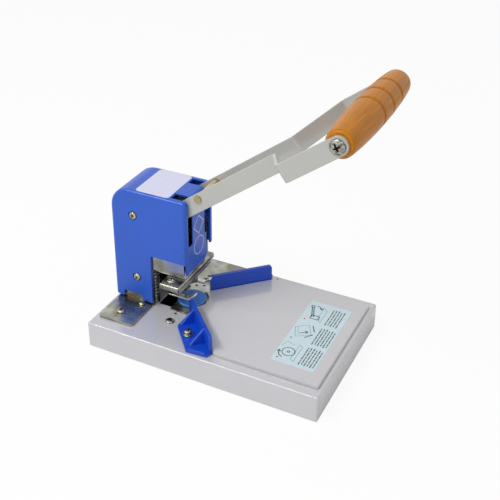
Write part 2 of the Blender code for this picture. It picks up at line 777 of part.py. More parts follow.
def make_guide(root, looks, side, sign):
    """Moulded 45 degree fence with its foot, two gussets and an end rim."""
    floor_low = (DIE_TOP if sign > 0 else TRAY_TOP) + SEAT_GAP
    floor_high = floor_low + GUIDE_FLOOR
    carrier = new_empty("guide_frame_" + side, root, (BED_APEX, 0, 0), 0)
    carrier.rotation_euler = (0, 0, sign * pi / 4)
    start = GUIDE_START
    near = start + (0 if sign > 0 else GUIDE_FRONT_TRIM)
    face = sign * SEAT_GAP

    def across(v):
        return sign * v

    corner = GUIDE_FLOOR_CORNER
    outline = rounded([
        (near, face, 0), (start + GUIDE_LENGTH, face, corner),
        (start + GUIDE_TIP_U, across(GUIDE_TIP_V), corner),
        (start + GUIDE_TAIL_U, across(GUIDE_TAIL_V), corner),
        (start + GUIDE_NECK_U, across(GUIDE_NECK_V), corner),
        (near, across(GUIDE_FENCE), 0)])
    guide = prism("guide_" + side, outline, floor_low, floor_high, carrier, looks["blue"])
    low, high = mirrored(face, across(GUIDE_FENCE))
    fence_outline = rounded([
        (near, floor_low, 0), (start + GUIDE_LENGTH, floor_low, 0),
        (start + GUIDE_LENGTH, GUIDE_TOP, GUIDE_CORNER), (near, GUIDE_TOP, GUIDE_CORNER)])
    fence = prism("fence_" + side, fence_outline, low, high, carrier, None, "XZ")
    boolean(guide, fence, "UNION")
    root_overlap = GUIDE_FENCE / 2
    for number, place in enumerate((GUIDE_RIB_NEAR, GUIDE_RIB_FAR)):
        rib_top = GUIDE_TOP - GUIDE_RIB_DROP
        depth = GUIDE_RIB_REACH
        gusset = [
            (root_overlap, floor_low + GUIDE_FLOOR / 2), (depth, floor_low + GUIDE_FLOOR / 2),
            (depth, floor_high), (GUIDE_FENCE, rib_top), (root_overlap, rib_top)]
        rib = prism("rib_" + side + str(number), gusset, 0, GUIDE_RIB, carrier, None, "XZ")
        rib.rotation_euler = (pi / 2, 0, sign * pi / 2)
        rib.location = (start + place, 0, 0)
        boolean(guide, rib, "UNION")
    tail = Vector((start + GUIDE_TAIL_U, across(GUIDE_TAIL_V)))
    tip = Vector((start + GUIDE_TIP_U, across(GUIDE_TIP_V)))
    way = (tip - tail).normalized()
    inward = Vector((way.y, -way.x)) * sign
    inset = GUIDE_RIM / 2 + GUIDE_RIM_LEDGE
    end = way * GUIDE_RIM_END
    rim_line = [tail + end + inward * inset, tip - end + inward * inset]
    rim_outline = ribbon([tuple(p) for p in rim_line], GUIDE_RIM, GUIDE_RIM)
    rim = prism("rim_" + side, rim_outline, floor_low + GUIDE_FLOOR / 2,
                floor_low + GUIDE_RIM_HEIGHT, carrier)
    boolean(guide, rim, "UNION")
    x, y = guide_point(sign, GUIDE_SCREW_U, GUIDE_SCREW_V)
    hole = rod("guide_hole_" + side, PAN_SHANK + HOLE_GAP, (x, y, floor_low - OVERRUN),
               (x, y, floor_high + OVERRUN), root, None, SCREW_STEPS)
    boolean(guide, hole)
    seat = floor_high + SEAT_GAP
    head_low = seat + WASHER_HEIGHT
    head_rim = head_low + GUIDE_HEAD_HEIGHT * GUIDE_HEAD_RIM_SHARE
    head_top = head_low + GUIDE_HEAD_HEIGHT
    shank_end = TRAY_UNDER - SHANK_UNDER_SHEET
    profile = [
        (0, head_top), (GUIDE_HEAD_RADIUS / 2, head_top), (GUIDE_HEAD_RADIUS, head_rim),
        (GUIDE_HEAD_RADIUS, head_low), (WASHER_RADIUS, head_low), (WASHER_RADIUS, seat),
        (PAN_SHANK, seat), (PAN_SHANK, shank_end), (0, shank_end)]
    bolt = turned("guide_screw_" + side, profile, root, looks["zinc"], SCREW_STEPS)
    bolt.location = (x, y, 0)


def frame_outline():
    """Side view of a frame wall: a column with an arm over the crosshead."""
    low = TRAY_TOP + SEAT_GAP
    r = FRAME_CORNER
    return rounded([
        (FRAME_LEFT, low, 0), (FRAME_RIGHT, low, 0), (FRAME_RIGHT, FRAME_ARM_BOTTOM, r),
        (FRAME_ARM_RIGHT, FRAME_ARM_BOTTOM, r), (FRAME_ARM_RIGHT, FRAME_SHOULDER, r),
        (FRAME_TOP_RIGHT, FRAME_TOP, r), (FRAME_TOP_LEFT, FRAME_TOP, r),
        (FRAME_LEFT, FRAME_LEFT_TOP, r)])


def make_frame(root, looks, side, sign):
    """Folded side frame: wall, foot flange and holes, with its screw and rivet."""
    low, high = mirrored(sign * FRAME_INNER, sign * FRAME_OUTER)
    frame = prism("frame_" + side, frame_outline(), low, high, root, looks["zinc"], "XZ")
    flange_low = TRAY_TOP + SEAT_GAP
    middle = sign * (FRAME_INNER + FRAME_SHEET / 2)
    outer = sign * FRAME_FLANGE_OUT
    r = FRAME_CORNER
    left = FRAME_LEFT + FRAME_FLANGE_INSET
    right = FRAME_RIGHT - FRAME_FLANGE_INSET
    outline = rounded([
        (left, middle, 0), (left, outer, r), (right, outer, r), (right, middle, 0)])
    flange = prism("flange_" + side, outline, flange_low, FLANGE_TOP, root)
    boolean(frame, flange, "UNION")
    clear = PAN_SHANK + HOLE_GAP
    places = [
        (FRAME_SCREW_PLACE[0], sign * FRAME_SCREW_PLACE[1], clear),
        (FRAME_RIVET_PLACE[0], sign * FRAME_RIVET_PLACE[1], clear),
        (FRAME_SPARE_PLACE[0], sign * FRAME_SPARE_PLACE[1], SPARE_HOLE_RADIUS)]
    boolean(frame, rods("flange_drill_" + side, places, flange_low - OVERRUN,
                        FLANGE_TOP + OVERRUN, root, SCREW_STEPS))
    bores = [("pivot", PIVOT_X, PIVOT_Z, PIVOT_PIN_RADIUS + HOLE_GAP)]
    bores += [(name, x, z, PAN_SHANK + HOLE_GAP) for name, x, z in HOUSING_SCREWS]
    for name, x, z, radius in bores:
        bore = rod("frame_bore_" + name + side, radius, (x, low - OVERRUN, z),
                   (x, high + OVERRUN, z), root, None, ROUND_STEPS)
        boolean(frame, bore)
    seat = FLANGE_TOP + SEAT_GAP
    reach = seat - TRAY_UNDER + SHANK_UNDER_SHEET
    x, y = FRAME_SCREW_PLACE
    screw("frame_screw_" + side, PAN_RADIUS, PAN_HEIGHT, PAN_SHANK, reach, (x, sign * y, seat),
          (0, 0, 1), root, looks["zinc"])
    x, y = FRAME_RIVET_PLACE
    screw("frame_rivet_" + side, DOME_RADIUS, DOME_HEIGHT, PAN_SHANK, reach,
          (x, sign * y, seat), (0, 0, 1), root, looks["brass"], False)


def make_frame_spacers(root, looks):
    """Tapped tubes that tie the two frames and take the housing screws."""
    bore = PAN_SHANK + HOLE_GAP
    half = FRAME_SPACER_HALF
    for name, x, z in HOUSING_SCREWS:
        profile = [
            (FRAME_SPACER_RADIUS, half), (FRAME_SPACER_RADIUS, -half), (bore, -half),
            (bore, half)]
        tube = turned("frame_spacer_" + name, profile, root, looks["steel"], ROUND_STEPS, True)
        set_axis(tube, (x, 0, z), (0, 1, 0))


def make_housing(root, looks):
    """Moulded cover with two arm slots, side windows and counterbored screw holes."""
    half = HOUSING_HALF
    outline = rounded([
        (HOUSING_LEFT, HOUSING_BOTTOM, 0), (HOUSING_RIGHT, HOUSING_BOTTOM, 0),
        (HOUSING_RIGHT, HOUSING_TOP, HOUSING_ROUND_RIGHT),
        (HOUSING_LEFT, HOUSING_TOP, HOUSING_ROUND_LEFT)])
    housing = prism("housing", outline, -half, half, root, looks["blue"], "XZ")
    open_side(housing, (0, -1, 0))
    bevel(housing, HOUSING_EDGE, 3)
    solidify(housing, HOUSING_WALL)
    below = HOUSING_BOTTOM - OVERRUN
    inside = half - HOUSING_WALL - OVERRUN
    outside = half + OVERRUN
    end_inside = HOUSING_RIGHT - HOUSING_WALL - OVERRUN
    end_outside = HOUSING_RIGHT + OVERRUN
    cuts = [
        box("window_front", (WINDOW_LEFT, -outside, below),
            (HOUSING_RIGHT - WINDOW_STRIP, -inside, WINDOW_TOP), root),
        box("window_rear", (WINDOW_LEFT, REAR_WINDOW_FROM, below),
            (end_outside, outside, WINDOW_TOP), root),
        box("end_opening", (end_inside, -outside, below),
            (end_outside, outside, END_BOTTOM), root),
        box("rear_slot_foot", (end_inside, REAR_WINDOW_FROM, below),
            (end_outside, ARM_SLOT_OUTER, ARM_SLOT_BOTTOM + OVERRUN), root),
        box("end_recess", (HOUSING_RIGHT - END_RECESS, -ARM_SLOT_OUTER, below),
            (end_outside, ARM_SLOT_OUTER, HOUSING_TOP + OVERRUN), root),
    ]
    for side, sign in SIDES:
        low, high = mirrored(sign * inside, sign * outside)
        cuts.append(box("notch_" + side, (NOTCH_LEFT, low, below),
                        (NOTCH_RIGHT, high, NOTCH_TOP), root))
        low, high = mirrored(sign * ARM_SLOT_INNER, sign * ARM_SLOT_OUTER)
        top = HOUSING_TOP + OVERRUN
        cuts.append(box("end_slot_" + side, (end_inside, low, ARM_SLOT_BOTTOM),
                        (end_outside, high, top), root))
        cuts.append(box("top_slot_" + side,
                        (ARM_SLOT_BACK, low, HOUSING_TOP - HOUSING_WALL - OVERRUN),
                        (HOUSING_RIGHT - HOUSING_WALL, high, top), root))
        for name, x, z in HOUSING_SCREWS:
            floor = half - COUNTERBORE_DEPTH
            cuts.append(rod("counterbore_" + name + side, COUNTERBORE_RADIUS,
                            (x, sign * floor, z), (x, sign * outside, z), root))
            cuts.append(rod("screw_hole_" + name + side, PAN_SHANK + HOLE_GAP,
                            (x, sign * inside, z), (x, sign * (floor + OVERRUN), z), root,
                            None, SCREW_STEPS))
            seat = floor + SEAT_GAP
            screw("housing_screw_" + name + "_" + side, HOUSING_HEAD_RADIUS,
                  HOUSING_HEAD_HEIGHT, PAN_SHANK, seat - HOUSING_SHANK_END,
                  (x, sign * seat, z), (0, sign, 0), root, looks["brass"], sign < 0)
    for tool in cuts:
        boolean(housing, tool)


def make_posts_and_springs(root, looks):
    """Two shouldered posts riveted to the tray, each with a return spring."""
    shoulder_low = TRAY_TOP + SEAT_GAP
    flare_top = TRAY_UNDER - SEAT_GAP
    flare_low = flare_top - POST_FLARE_HEIGHT
    flare = POST_STUB_RADIUS + POST_FLARE
    profile = [
        (0, POST_TOP), (POST_RADIUS - POST_CHAMFER, POST_TOP),
        (POST_RADIUS, POST_TOP - POST_CHAMFER), (POST_RADIUS, POST_SHOULDER_TOP),
        (POST_SHOULDER_RADIUS, POST_SHOULDER_TOP), (POST_SHOULDER_RADIUS, shoulder_low),
        (POST_STUB_RADIUS, shoulder_low), (POST_STUB_RADIUS, flare_top), (flare, flare_top),
        (flare, flare_low), (0, flare_low)]
    for side, sign in SIDES:
        post = turned("guide_post_" + side, profile, root, looks["steel"])
        post.location = (POST_X, sign * POST_Y, 0)
        make_spring(root, looks, side, sign)


def spring_points():
    """Points of one return spring, from a straight foot up the curls to a straight end."""
    low = POST_SHOULDER_TOP + SEAT_GAP
    high = RAM_LUG_BOTTOM - SEAT_GAP
    first = low + SPRING_WIRE
    last = high - SPRING_WIRE
    count = SPRING_CURLS * SPRING_CURL_POINTS
    points = [Vector((SPRING_RADIUS, 0, low))]
    for k in range(count + 1):
        angle = 2 * pi * k / SPRING_CURL_POINTS
        height = first + (last - first) * k / count
        points.append(Vector((SPRING_RADIUS * cos(angle), SPRING_RADIUS * sin(angle), height)))
    points.append(Vector((SPRING_RADIUS, 0, high)))
    return points


def least_spring_gap(points):
    """Least gap of the spring's wire to itself, measured between points of unlike curls."""
    least = None
    for i, a in enumerate(points):
        for b in points[i + SPRING_CURL_POINTS // 2:]:
            gap = (a - b).length - SPRING_WIRE
            least = gap if least is None else min(least, gap)
    return least


def make_spring(root, looks, side, sign):
    """One unbroken coil of wire round a guide post."""
    points = spring_points()
    name = "return_spring_" + side
    curve = bpy.data.curves.new(name, "CURVE")
    curve.dimensions = "3D"
    curve.bevel_depth = SPRING_WIRE / 2
    curve.bevel_resolution = 1
    curve.use_fill_caps = True
    spline = curve.splines.new("POLY")
    spline.points.add(len(points) - 1)
    for target, point in zip(spline.points, points):
        target.co = (*point, 1)
    obj = bpy.data.objects.new(name, curve)
    obj.parent = root
    obj.location = (POST_X, sign * POST_Y, 0)
    curve.materials.append(looks["steel"])
    bpy.data.collections["corner_rounder"].objects.link(obj)
    print(name, "least gap to itself, mm:", round(least_spring_gap(points) / MILLIMETRE, 2))


def make_stripper(root, looks):
    """Bent spring-steel fork that holds the paper down, and its foot screw."""
    t = STRIPPER_SHEET
    low = TRAY_TOP + SEAT_GAP + t / 2
    level = STRIPPER_TOP - t / 2
    line = [
        (STRIPPER_FOOT_LEFT, low), (STRIPPER_RISER, low), (STRIPPER_RISER, level),
        (STRIPPER_TOE_START, level), (STRIPPER_TOE_RIGHT, STRIPPER_TOE_TOP)]
    half = STRIPPER_HALF
    fork = prism("stripper_fork", ribbon(line, t, STRIPPER_BEND), -half, half, root,
                 looks["steel"], "XZ")
    left = STRIPPER_FOOT_LEFT - OVERRUN
    neck = STRIPPER_NECK_HALF
    out = half + OVERRUN
    top = STRIPPER_TOE_TOP + OVERRUN
    for side, sign in SIDES:
        outline = [
            (left, sign * neck), (STRIPPER_NECK_END, sign * neck),
            (STRIPPER_SHOULDER_END, sign * half), (STRIPPER_SHOULDER_END, sign * out),
            (left, sign * out)]
        boolean(fork, prism("neck_cut_" + side, outline, TRAY_UNDER, top, root))
    inner = half - STRIPPER_PRONG
    mouth = box("fork_mouth", (STRIPPER_FORK_LEFT, -inner, TRAY_UNDER),
                (STRIPPER_TOE_RIGHT + OVERRUN, inner, top), root)
    boolean(fork, mouth)
    floor = TRAY_TOP + SEAT_GAP
    hole = rod("stripper_hole", PAN_SHANK + HOLE_GAP, (STRIPPER_SCREW_X, 0, TRAY_UNDER),
               (STRIPPER_SCREW_X, 0, floor + t + OVERRUN), root, None, SCREW_STEPS)
    boolean(fork, hole)
    seat = floor + t + SEAT_GAP
    screw("stripper_screw", PAN_RADIUS, PAN_HEIGHT, PAN_SHANK,
          seat - TRAY_UNDER + SHANK_UNDER_SHEET, (STRIPPER_SCREW_X, 0, seat), (0, 0, 1), root,
          looks["zinc"], False)


def make_ram(ram_axis, looks):
    """Ram block: lugs on the posts, shelf over the crosshead, slotted web for the pin."""
    bushing = POST_RADIUS + HOLE_GAP + BUSHING_WALL
    lug_reach = bushing + RAM_LUG_WALL
    lug_left = POST_X - lug_reach
    lug_top = RAM_LUG_BOTTOM + RAM_LUG_HEIGHT
    ram = box("ram", (lug_left, -RAM_LUG_OUT, RAM_LUG_BOTTOM),
              (POST_X + lug_reach, RAM_LUG_OUT, lug_top), ram_axis, looks["steel"])
    shelf = box("ram_shelf", (POST_X, -RAM_SHELF_HALF, CROSSHEAD_TOP + SEAT_GAP),
                (RAM_SHELF_RIGHT, RAM_SHELF_HALF, RAM_SHELF_TOP), ram_axis)
    boolean(ram, shelf, "UNION")
    pin_rest = PIVOT_X + DRIVE_REACH * cos(LEVER_REST)
    pin_low = PIVOT_X + DRIVE_REACH * cos(LEVER_LOW)
    pin_z = PIVOT_Z + DRIVE_REACH * sin(LEVER_REST)
    slot_half = DRIVE_PIN_RADIUS + DRIVE_SLOT_PLAY
    slot_left = pin_rest - slot_half
    slot_right = pin_low + slot_half
    web_left = slot_left - RAM_WEB_WALL
    web_right = slot_right + RAM_WEB_WALL
    web_top = pin_z + slot_half + RAM_WEB_WALL
    foot = RAM_SHELF_TOP - SEAT_GAP
    web_outline = rounded([
        (web_left, foot, 0), (web_right, foot, 0), (web_right, web_top, RAM_WEB_ROUND),
        (web_left, web_top, RAM_WEB_ROUND)])
    web = prism("ram_web", web_outline, -RAM_WEB_HALF, RAM_WEB_HALF, ram_axis, None, "XZ")
    boolean(ram, web, "UNION")
    slot_outline = rounded([
        (slot_left, pin_z - slot_half, slot_half * ROUND_END_SHARE),
        (slot_right, pin_z - slot_half, slot_half * ROUND_END_SHARE),
        (slot_right, pin_z + slot_half, slot_half * ROUND_END_SHARE),
        (slot_left, pin_z + slot_half, slot_half * ROUND_END_SHARE)])
    over = RAM_WEB_HALF + OVERRUN
    boolean(ram, prism("pin_slot", slot_outline, -over, over, ram_axis, None, "XZ"))
    bores = [(POST_X, sign * POST_Y, bushing + HOLE_GAP) for _, sign in SIDES]
    x, y = CROSSHEAD_BOLT_PLACE
    bores += [(x, sign * y, PAN_SHANK + HOLE_GAP) for _, sign in SIDES]
    boolean(ram, rods("ram_bores", bores, CROSSHEAD_TOP - OVERRUN, lug_top + OVERRUN, ram_axis))
    for side, sign in SIDES:
        flange_low = lug_top + SEAT_GAP
        flange_top = flange_low + BUSHING_FLANGE_HEIGHT
        flange = bushing + BUSHING_FLANGE
        bore = POST_RADIUS + HOLE_GAP
        profile = [
            (flange, flange_top), (flange, flange_low), (bushing, flange_low),
            (bushing, RAM_LUG_BOTTOM), (bore, RAM_LUG_BOTTOM), (bore, flange_top)]
        ring = turned("ram_bushing_" + side, profile, ram_axis, looks["bronze"], ROUND_STEPS,
                      True)
        ring.location = (POST_X, sign * POST_Y, 0)
        screw("crosshead_bolt_" + side, BOLT_RADIUS, BOLT_HEIGHT, PAN_SHANK,
              RAM_SHELF_TOP + SEAT_GAP - CROSSHEAD_BOTTOM, (x, sign * y, RAM_SHELF_TOP + SEAT_GAP),
              (0, 0, 1), ram_axis, looks["steel"], False)


def make_crosshead(ram_axis, looks):
    """Ground plate whose wings stick out of both windows."""
    half = CROSSHEAD_HALF
    plate = box("crosshead", (CROSSHEAD_LEFT, -half, CROSSHEAD_BOTTOM),
                (CROSSHEAD_RIGHT, half, CROSSHEAD_TOP), ram_axis, looks["steel"])
    bevel(plate, CROSSHEAD_CHAMFER)
    places = []
    for x, y in (CROSSHEAD_BOLT_PLACE, CARRIER_SCREW_PLACE):
        places += [(x, sign * y, PAN_SHANK + HOLE_GAP) for _, sign in SIDES]
    boolean(plate, rods("crosshead_drill", places, CROSSHEAD_BOTTOM - OVERRUN,
                        CROSSHEAD_TOP + OVERRUN, ram_axis, SCREW_STEPS))
    x, y = CARRIER_SCREW_PLACE
    for side, sign in SIDES:
        seat = CROSSHEAD_TOP + SEAT_GAP
        screw("carrier_screw_" + side, PAN_RADIUS, PAN_HEIGHT, PAN_SHANK, seat - CARRIER_BOTTOM,
              (x, sign * y, seat), (0, 0, 1), ram_axis, looks["zinc"])


def blade_line(extra):
    """Middle line of the blade: a quarter arc with a straight tail at each end."""
    radius = BLADE_RADIUS + BLADE_THICKNESS / 2
    centre = BED_APEX + BLADE_RADIUS / DIAGONAL
    points = []
    tail = (BLADE_TAIL + extra) * DIAGONAL
    foot = radius * DIAGONAL
    points.append((centre - foot + tail, -foot - tail))
    count = round((pi / 2) / ARC_STEP)
    for k in range(count + 1):
        angle = pi * 5 / 4 - (pi / 2) * k / count
        points.append((centre + radius * cos(angle), radius * sin(angle)))
    points.append((centre - foot + tail, foot + tail))
    return points


def make_blade(ram_axis, looks):
    """Curved blade in the groove of its carrier."""
    top = CARRIER_BOTTOM + BLADE_SEAT_DEPTH
    line = blade_line(0)
    outline = offset_line(line, BLADE_THICKNESS / 2)
    blade = prism("blade", outline, BLADE_EDGE, top, ram_axis, looks["steel"])
    centre = Vector((BED_APEX + BLADE_RADIUS / DIAGONAL, 0))
    limit = BLADE_RADIUS + BLADE_THICKNESS / 2
    bm = bmesh.new()
    bm.from_mesh(blade.data)
    edges = [
        edge for edge in bm.edges
        if all(v.co.z < 0 for v in edge.verts) and len(edge.link_faces) == 2
        and all(outer_side(v.co, centre, limit) for v in edge.verts)]
    bmesh.ops.bevel(bm, geom=edges, offset=BLADE_GRIND, segments=1, affect="EDGES",
                    clamp_overlap=True)
    bm.to_mesh(blade.data)
    bm.free()
    carrier = box("blade_carrier", (CARRIER_LEFT, -CARRIER_HALF, CARRIER_BOTTOM),
                  (CARRIER_RIGHT, CARRIER_HALF, CARRIER_TOP), ram_axis, looks["steel"])
    bevel(carrier, CARRIER_CHAMFER)
    groove = offset_line(blade_line(SEAT_GAP), BLADE_THICKNESS / 2 + SEAT_GAP)
    boolean(carrier, prism("blade_groove", groove, CARRIER_BOTTOM - OVERRUN, top + SEAT_GAP,
                           ram_axis))
    x, y = CARRIER_SCREW_PLACE
    places = [(x, sign * y, PAN_SHANK + HOLE_GAP) for _, sign in SIDES]
    boolean(carrier, rods("carrier_drill", places, CARRIER_BOTTOM - OVERRUN,
                          CARRIER_TOP + OVERRUN, ram_axis, SCREW_STEPS))


def outer_side(place, centre, limit):
    """Whether a place lies on the blade's outer, ground side."""
    offset = Vector((place.x, place.y)) - centre
    if offset.x < -abs(offset.y):
        return offset.length > limit
    return (abs(offset.y) - offset.x) * DIAGONAL > limit


def offset_line(points, half):
    """Outline at an even distance on both sides of a line, mitred at its points."""
    left, right = [], []
    last = len(points) - 1
    for i, point in enumerate(points):
        here = Vector(point)
        back = (here - Vector(points[i - 1])).normalized() if i else None
        ahead = (Vector(points[i + 1]) - here).normalized() if i < last else None
        way = (back or ahead) + (ahead or back)
        way.normalize()
        side = Vector((-way.y, way.x))
        stretch = half / cos((back or ahead).angle(ahead or back) / 2)
        left.append(tuple(here + side * stretch))
        right.append(tuple(here - side * stretch))
    return left + right[::-1]


def make_arm(lever, looks, side, sign):
    """Flat arm, bent outwards to the grip, with round ends and four holes."""
    end = GRIP_REACH + ARM_WIDTH / 2
    line = [
        (-ARM_WIDTH / 2, sign * ARM_INNER_Y), (ARM_BEND_START, sign * ARM_INNER_Y),
        (ARM_BEND_END, sign * ARM_OUTER_Y), (end, sign * ARM_OUTER_Y)]
    half = ARM_WIDTH / 2
    arm = prism("lever_arm_" + side, ribbon(line, ARM_SHEET, ARM_BEND_RADIUS), -half, half,
                lever, looks["arm"])
    arm_round = half * ROUND_END_SHARE
    shape = rounded([
        (-half, -half, arm_round), (end, -half, arm_round), (end, half, arm_round),
        (-half, half, arm_round)])
    low, high = mirrored(0, sign * (ARM_OUTER_Y + ARM_SHEET))
    boolean(arm, prism("arm_shape_" + side, shape, low, high, lever, None, "XZ"), "INTERSECT")
    holes = (
        ("pivot", 0, ARM_INNER_Y, 0, PIVOT_PIN_RADIUS),
        ("drive", DRIVE_REACH, ARM_INNER_Y, 0, DRIVE_PIN_RADIUS),
        ("spacer", SPACER_REACH, ARM_INNER_Y, SPACER_LIFT, SPACER_NECK),
        ("grip", GRIP_REACH, ARM_OUTER_Y, 0, HANDLE_SCREW_RADIUS))
    for name, reach, y, lift, radius in holes:
        over = sign * (ARM_SHEET / 2 + OVERRUN)
        tool = rod("arm_hole_" + name + side, radius + HOLE_GAP, (reach, sign * y - over, lift),
                   (reach, sign * y + over, lift), lever)
        boolean(arm, tool)


def make_lever_pins(root, lever, looks):
    """Pivot pin in the frames; tube, drive pin and riveted spacer in the arms."""
    rod("pivot_pin", PIVOT_PIN_RADIUS, (PIVOT_X, -FRAME_OUTER, PIVOT_Z),
        (PIVOT_X, FRAME_OUTER, PIVOT_Z), root, looks["steel"])
    half = ARM_INNER_FACE - SEAT_GAP
    bore = PIVOT_PIN_RADIUS + HOLE_GAP
    profile = [(PIVOT_TUBE_RADIUS, half), (PIVOT_TUBE_RADIUS, -half), (bore, -half), (bore, half)]
    tube = turned("pivot_tube", profile, lever, looks["steel"], ROUND_STEPS, True)
    set_axis(tube, (0, 0, 0), (0, 1, 0))
    head_low = ARM_OUTER_FACE + SEAT_GAP
    head_high = head_low + RIVET_HEAD_HEIGHT
    for name, reach, lift, body, neck, head, look in (
            ("drive_pin", DRIVE_REACH, 0, DRIVE_PIN_RADIUS, DRIVE_PIN_RADIUS, DRIVE_HEAD_RADIUS,
             "steel"),
            ("arm_spacer", SPACER_REACH, SPACER_LIFT, SPACER_RADIUS, SPACER_NECK,
             SPACER_HEAD_RADIUS, "brass")):
        upper = [(0, head_high), (head, head_high), (head, head_low), (neck, head_low)]
        if body > neck:
            upper += [(neck, half), (body, half)]
        pin = turned(name, upper + [(r, -z) for r, z in reversed(upper)], lever, looks[look],
                     ROUND_STEPS)
        set_axis(pin, (reach, 0, lift), (0, 1, 0))


def grip_profile(half):
    """Barrel profile with three V-grooves, listed down its outer side, and the bore."""

    def radius_at(share):
        swell = sin(pi * share) ** GRIP_SWELL_SHARE
        return GRIP_END_RADIUS + (GRIP_RADIUS - GRIP_END_RADIUS) * swell

    stations = [(share, 0) for share in GRIP_STATION_SHARES]
    for groove in GRIP_GROOVE_SHARES:
        reach = GROOVE_HALF / (2 * half)
        stations += [(groove - reach, 0), (groove, GROOVE_DEPTH), (groove + reach, 0)]
    stations.append((1 / 2, 0))
    profile = [(GRIP_END_RADIUS - GRIP_END_ROUND, half), (GRIP_END_RADIUS, half - GRIP_END_ROUND)]
    for share, depth in sorted(stations):
        profile.append((radius_at(share) - depth, half - 2 * half * share))
    profile += [(GRIP_END_RADIUS, GRIP_END_ROUND - half), (GRIP_END_RADIUS - GRIP_END_ROUND, -half)]
    bore = HANDLE_ROD_RADIUS + HOLE_GAP
    return profile + [(bore, -half), (bore, half)]


def make_grip(lever, looks):
    """Turned wooden grip on its rod, with the two large screws."""
    axis = new_empty("grip_axis", lever, (GRIP_REACH, 0, 0), LEVER_REST)
    inner_face = ARM_OUTER_Y - ARM_SHEET / 2
    grip = turned("handle_grip", grip_profile(inner_face - GRIP_END_GAP), axis, looks["wood"],
                  GRIP_STEPS, True)
    set_axis(grip, (0, 0, 0), (0, -1, 0))
    half = inner_face - SEAT_GAP
    bar = rod("handle_rod", HANDLE_ROD_RADIUS, (0, -half, 0), (0, half, 0), axis, looks["steel"])
    for side, sign in SIDES:
        seat = sign * (ARM_OUTER_Y + ARM_SHEET / 2 + SEAT_GAP)
        tip = sign * (inner_face - HANDLE_SCREW_REACH)
        bore = rod("rod_bore_" + side, HANDLE_SCREW_RADIUS + HOLE_GAP,
                   (0, tip - sign * SEAT_GAP, 0), (0, seat, 0), axis)
        boolean(bar, bore)
        screw("handle_screw_" + side, HANDLE_SCREW_HEAD, HANDLE_SCREW_HEAD_HEIGHT,
              HANDLE_SCREW_RADIUS, abs(seat - tip), (0, seat, 0), (0, sign, 0), axis,
              looks["zinc"])


def main():
    """Build the corner rounder."""
    clear_scene()
    new_collection("corner_rounder")
    new_collection("cutters")
    looks = make_materials()
    root = new_empty("base_corner", None, (-OVERALL_LENGTH / 2, 0, 0), 0)
    make_base_tray(root, looks)
    make_bed_plate(root, looks)
    make_feet_and_cover(root, looks)
    make_die_plate(root, looks)
    make_cutting_disc(root, looks)
    for side, sign in SIDES:
        make_guide(root, looks, side, sign)
        make_frame(root, looks, side, sign)
    make_frame_spacers(root, looks)
    make_housing(root, looks)
    make_posts_and_springs(root, looks)
    make_stripper(root, looks)
    ram_axis = new_empty("ram_axis", root, (0, 0, 0), 0)
    make_ram(ram_axis, looks)
    make_crosshead(ram_axis, looks)
    make_blade(ram_axis, looks)
    lever = new_empty("lever_axis", root, (PIVOT_X, 0, PIVOT_Z), -LEVER_REST)
    for side, sign in SIDES:
        make_arm(lever, looks, side, sign)
    make_lever_pins(root, lever, looks)
    make_grip(lever, looks)


main()
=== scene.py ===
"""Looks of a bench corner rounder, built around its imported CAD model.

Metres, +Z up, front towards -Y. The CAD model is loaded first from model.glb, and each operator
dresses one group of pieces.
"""

from math import cos, pi, radians, sin

import bmesh
import bpy
from bpy.props import FloatProperty, FloatVectorProperty, IntProperty, PointerProperty
from bpy.types import Operator, Panel, PropertyGroup
from mathutils import Matrix, Vector


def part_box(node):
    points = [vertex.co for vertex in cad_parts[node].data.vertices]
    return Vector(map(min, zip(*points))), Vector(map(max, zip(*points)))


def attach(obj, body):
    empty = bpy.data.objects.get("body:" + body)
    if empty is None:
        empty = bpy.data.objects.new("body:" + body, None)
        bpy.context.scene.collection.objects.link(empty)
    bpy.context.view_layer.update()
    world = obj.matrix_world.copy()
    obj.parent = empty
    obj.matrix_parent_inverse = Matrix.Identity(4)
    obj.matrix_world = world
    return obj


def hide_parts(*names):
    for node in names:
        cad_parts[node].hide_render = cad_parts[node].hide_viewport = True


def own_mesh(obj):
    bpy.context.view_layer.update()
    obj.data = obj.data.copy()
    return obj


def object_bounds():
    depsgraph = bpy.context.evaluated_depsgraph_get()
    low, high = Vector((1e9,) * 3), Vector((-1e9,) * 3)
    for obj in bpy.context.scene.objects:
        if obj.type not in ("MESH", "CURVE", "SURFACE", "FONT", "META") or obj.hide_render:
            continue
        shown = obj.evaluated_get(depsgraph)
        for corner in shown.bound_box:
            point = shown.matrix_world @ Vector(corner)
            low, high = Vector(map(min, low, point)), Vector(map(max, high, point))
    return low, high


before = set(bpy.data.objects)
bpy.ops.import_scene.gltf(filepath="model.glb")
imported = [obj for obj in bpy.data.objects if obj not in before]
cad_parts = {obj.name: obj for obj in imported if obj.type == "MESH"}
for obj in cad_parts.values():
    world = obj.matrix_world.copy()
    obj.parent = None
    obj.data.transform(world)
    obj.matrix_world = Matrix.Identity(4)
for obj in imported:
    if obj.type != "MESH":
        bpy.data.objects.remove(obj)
CAD_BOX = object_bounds()

bl_info = {
    "name": "Bench Corner Rounder",
    "version": (1, 0, 0),
    "blender": (4, 5, 0),
    "location": "3D View > Sidebar > Corner Rounder",
    "description": "Dresses the packed corner rounder and sets its studio stage",
    "category": "Object",
}

SIDES = (("front", -1), ("rear", 1))

# Places read from the CAD model
BASE_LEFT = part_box("base_tray")[0].x
BED_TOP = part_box("bed_plate")[1].z
HOUSING_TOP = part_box("housing")[1].z
GRIP_LOW, GRIP_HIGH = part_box("handle_grip")
GRIP_AXIS = (GRIP_LOW + GRIP_HIGH) / 2

# Joins and edges of the carried-over solids
JOIN_DISTANCE = 0.000001
FLAT_ANGLE = radians(0.4)
SHARP_ANGLE = radians(35)
WHOLE_FACE_WEIGHT = 100

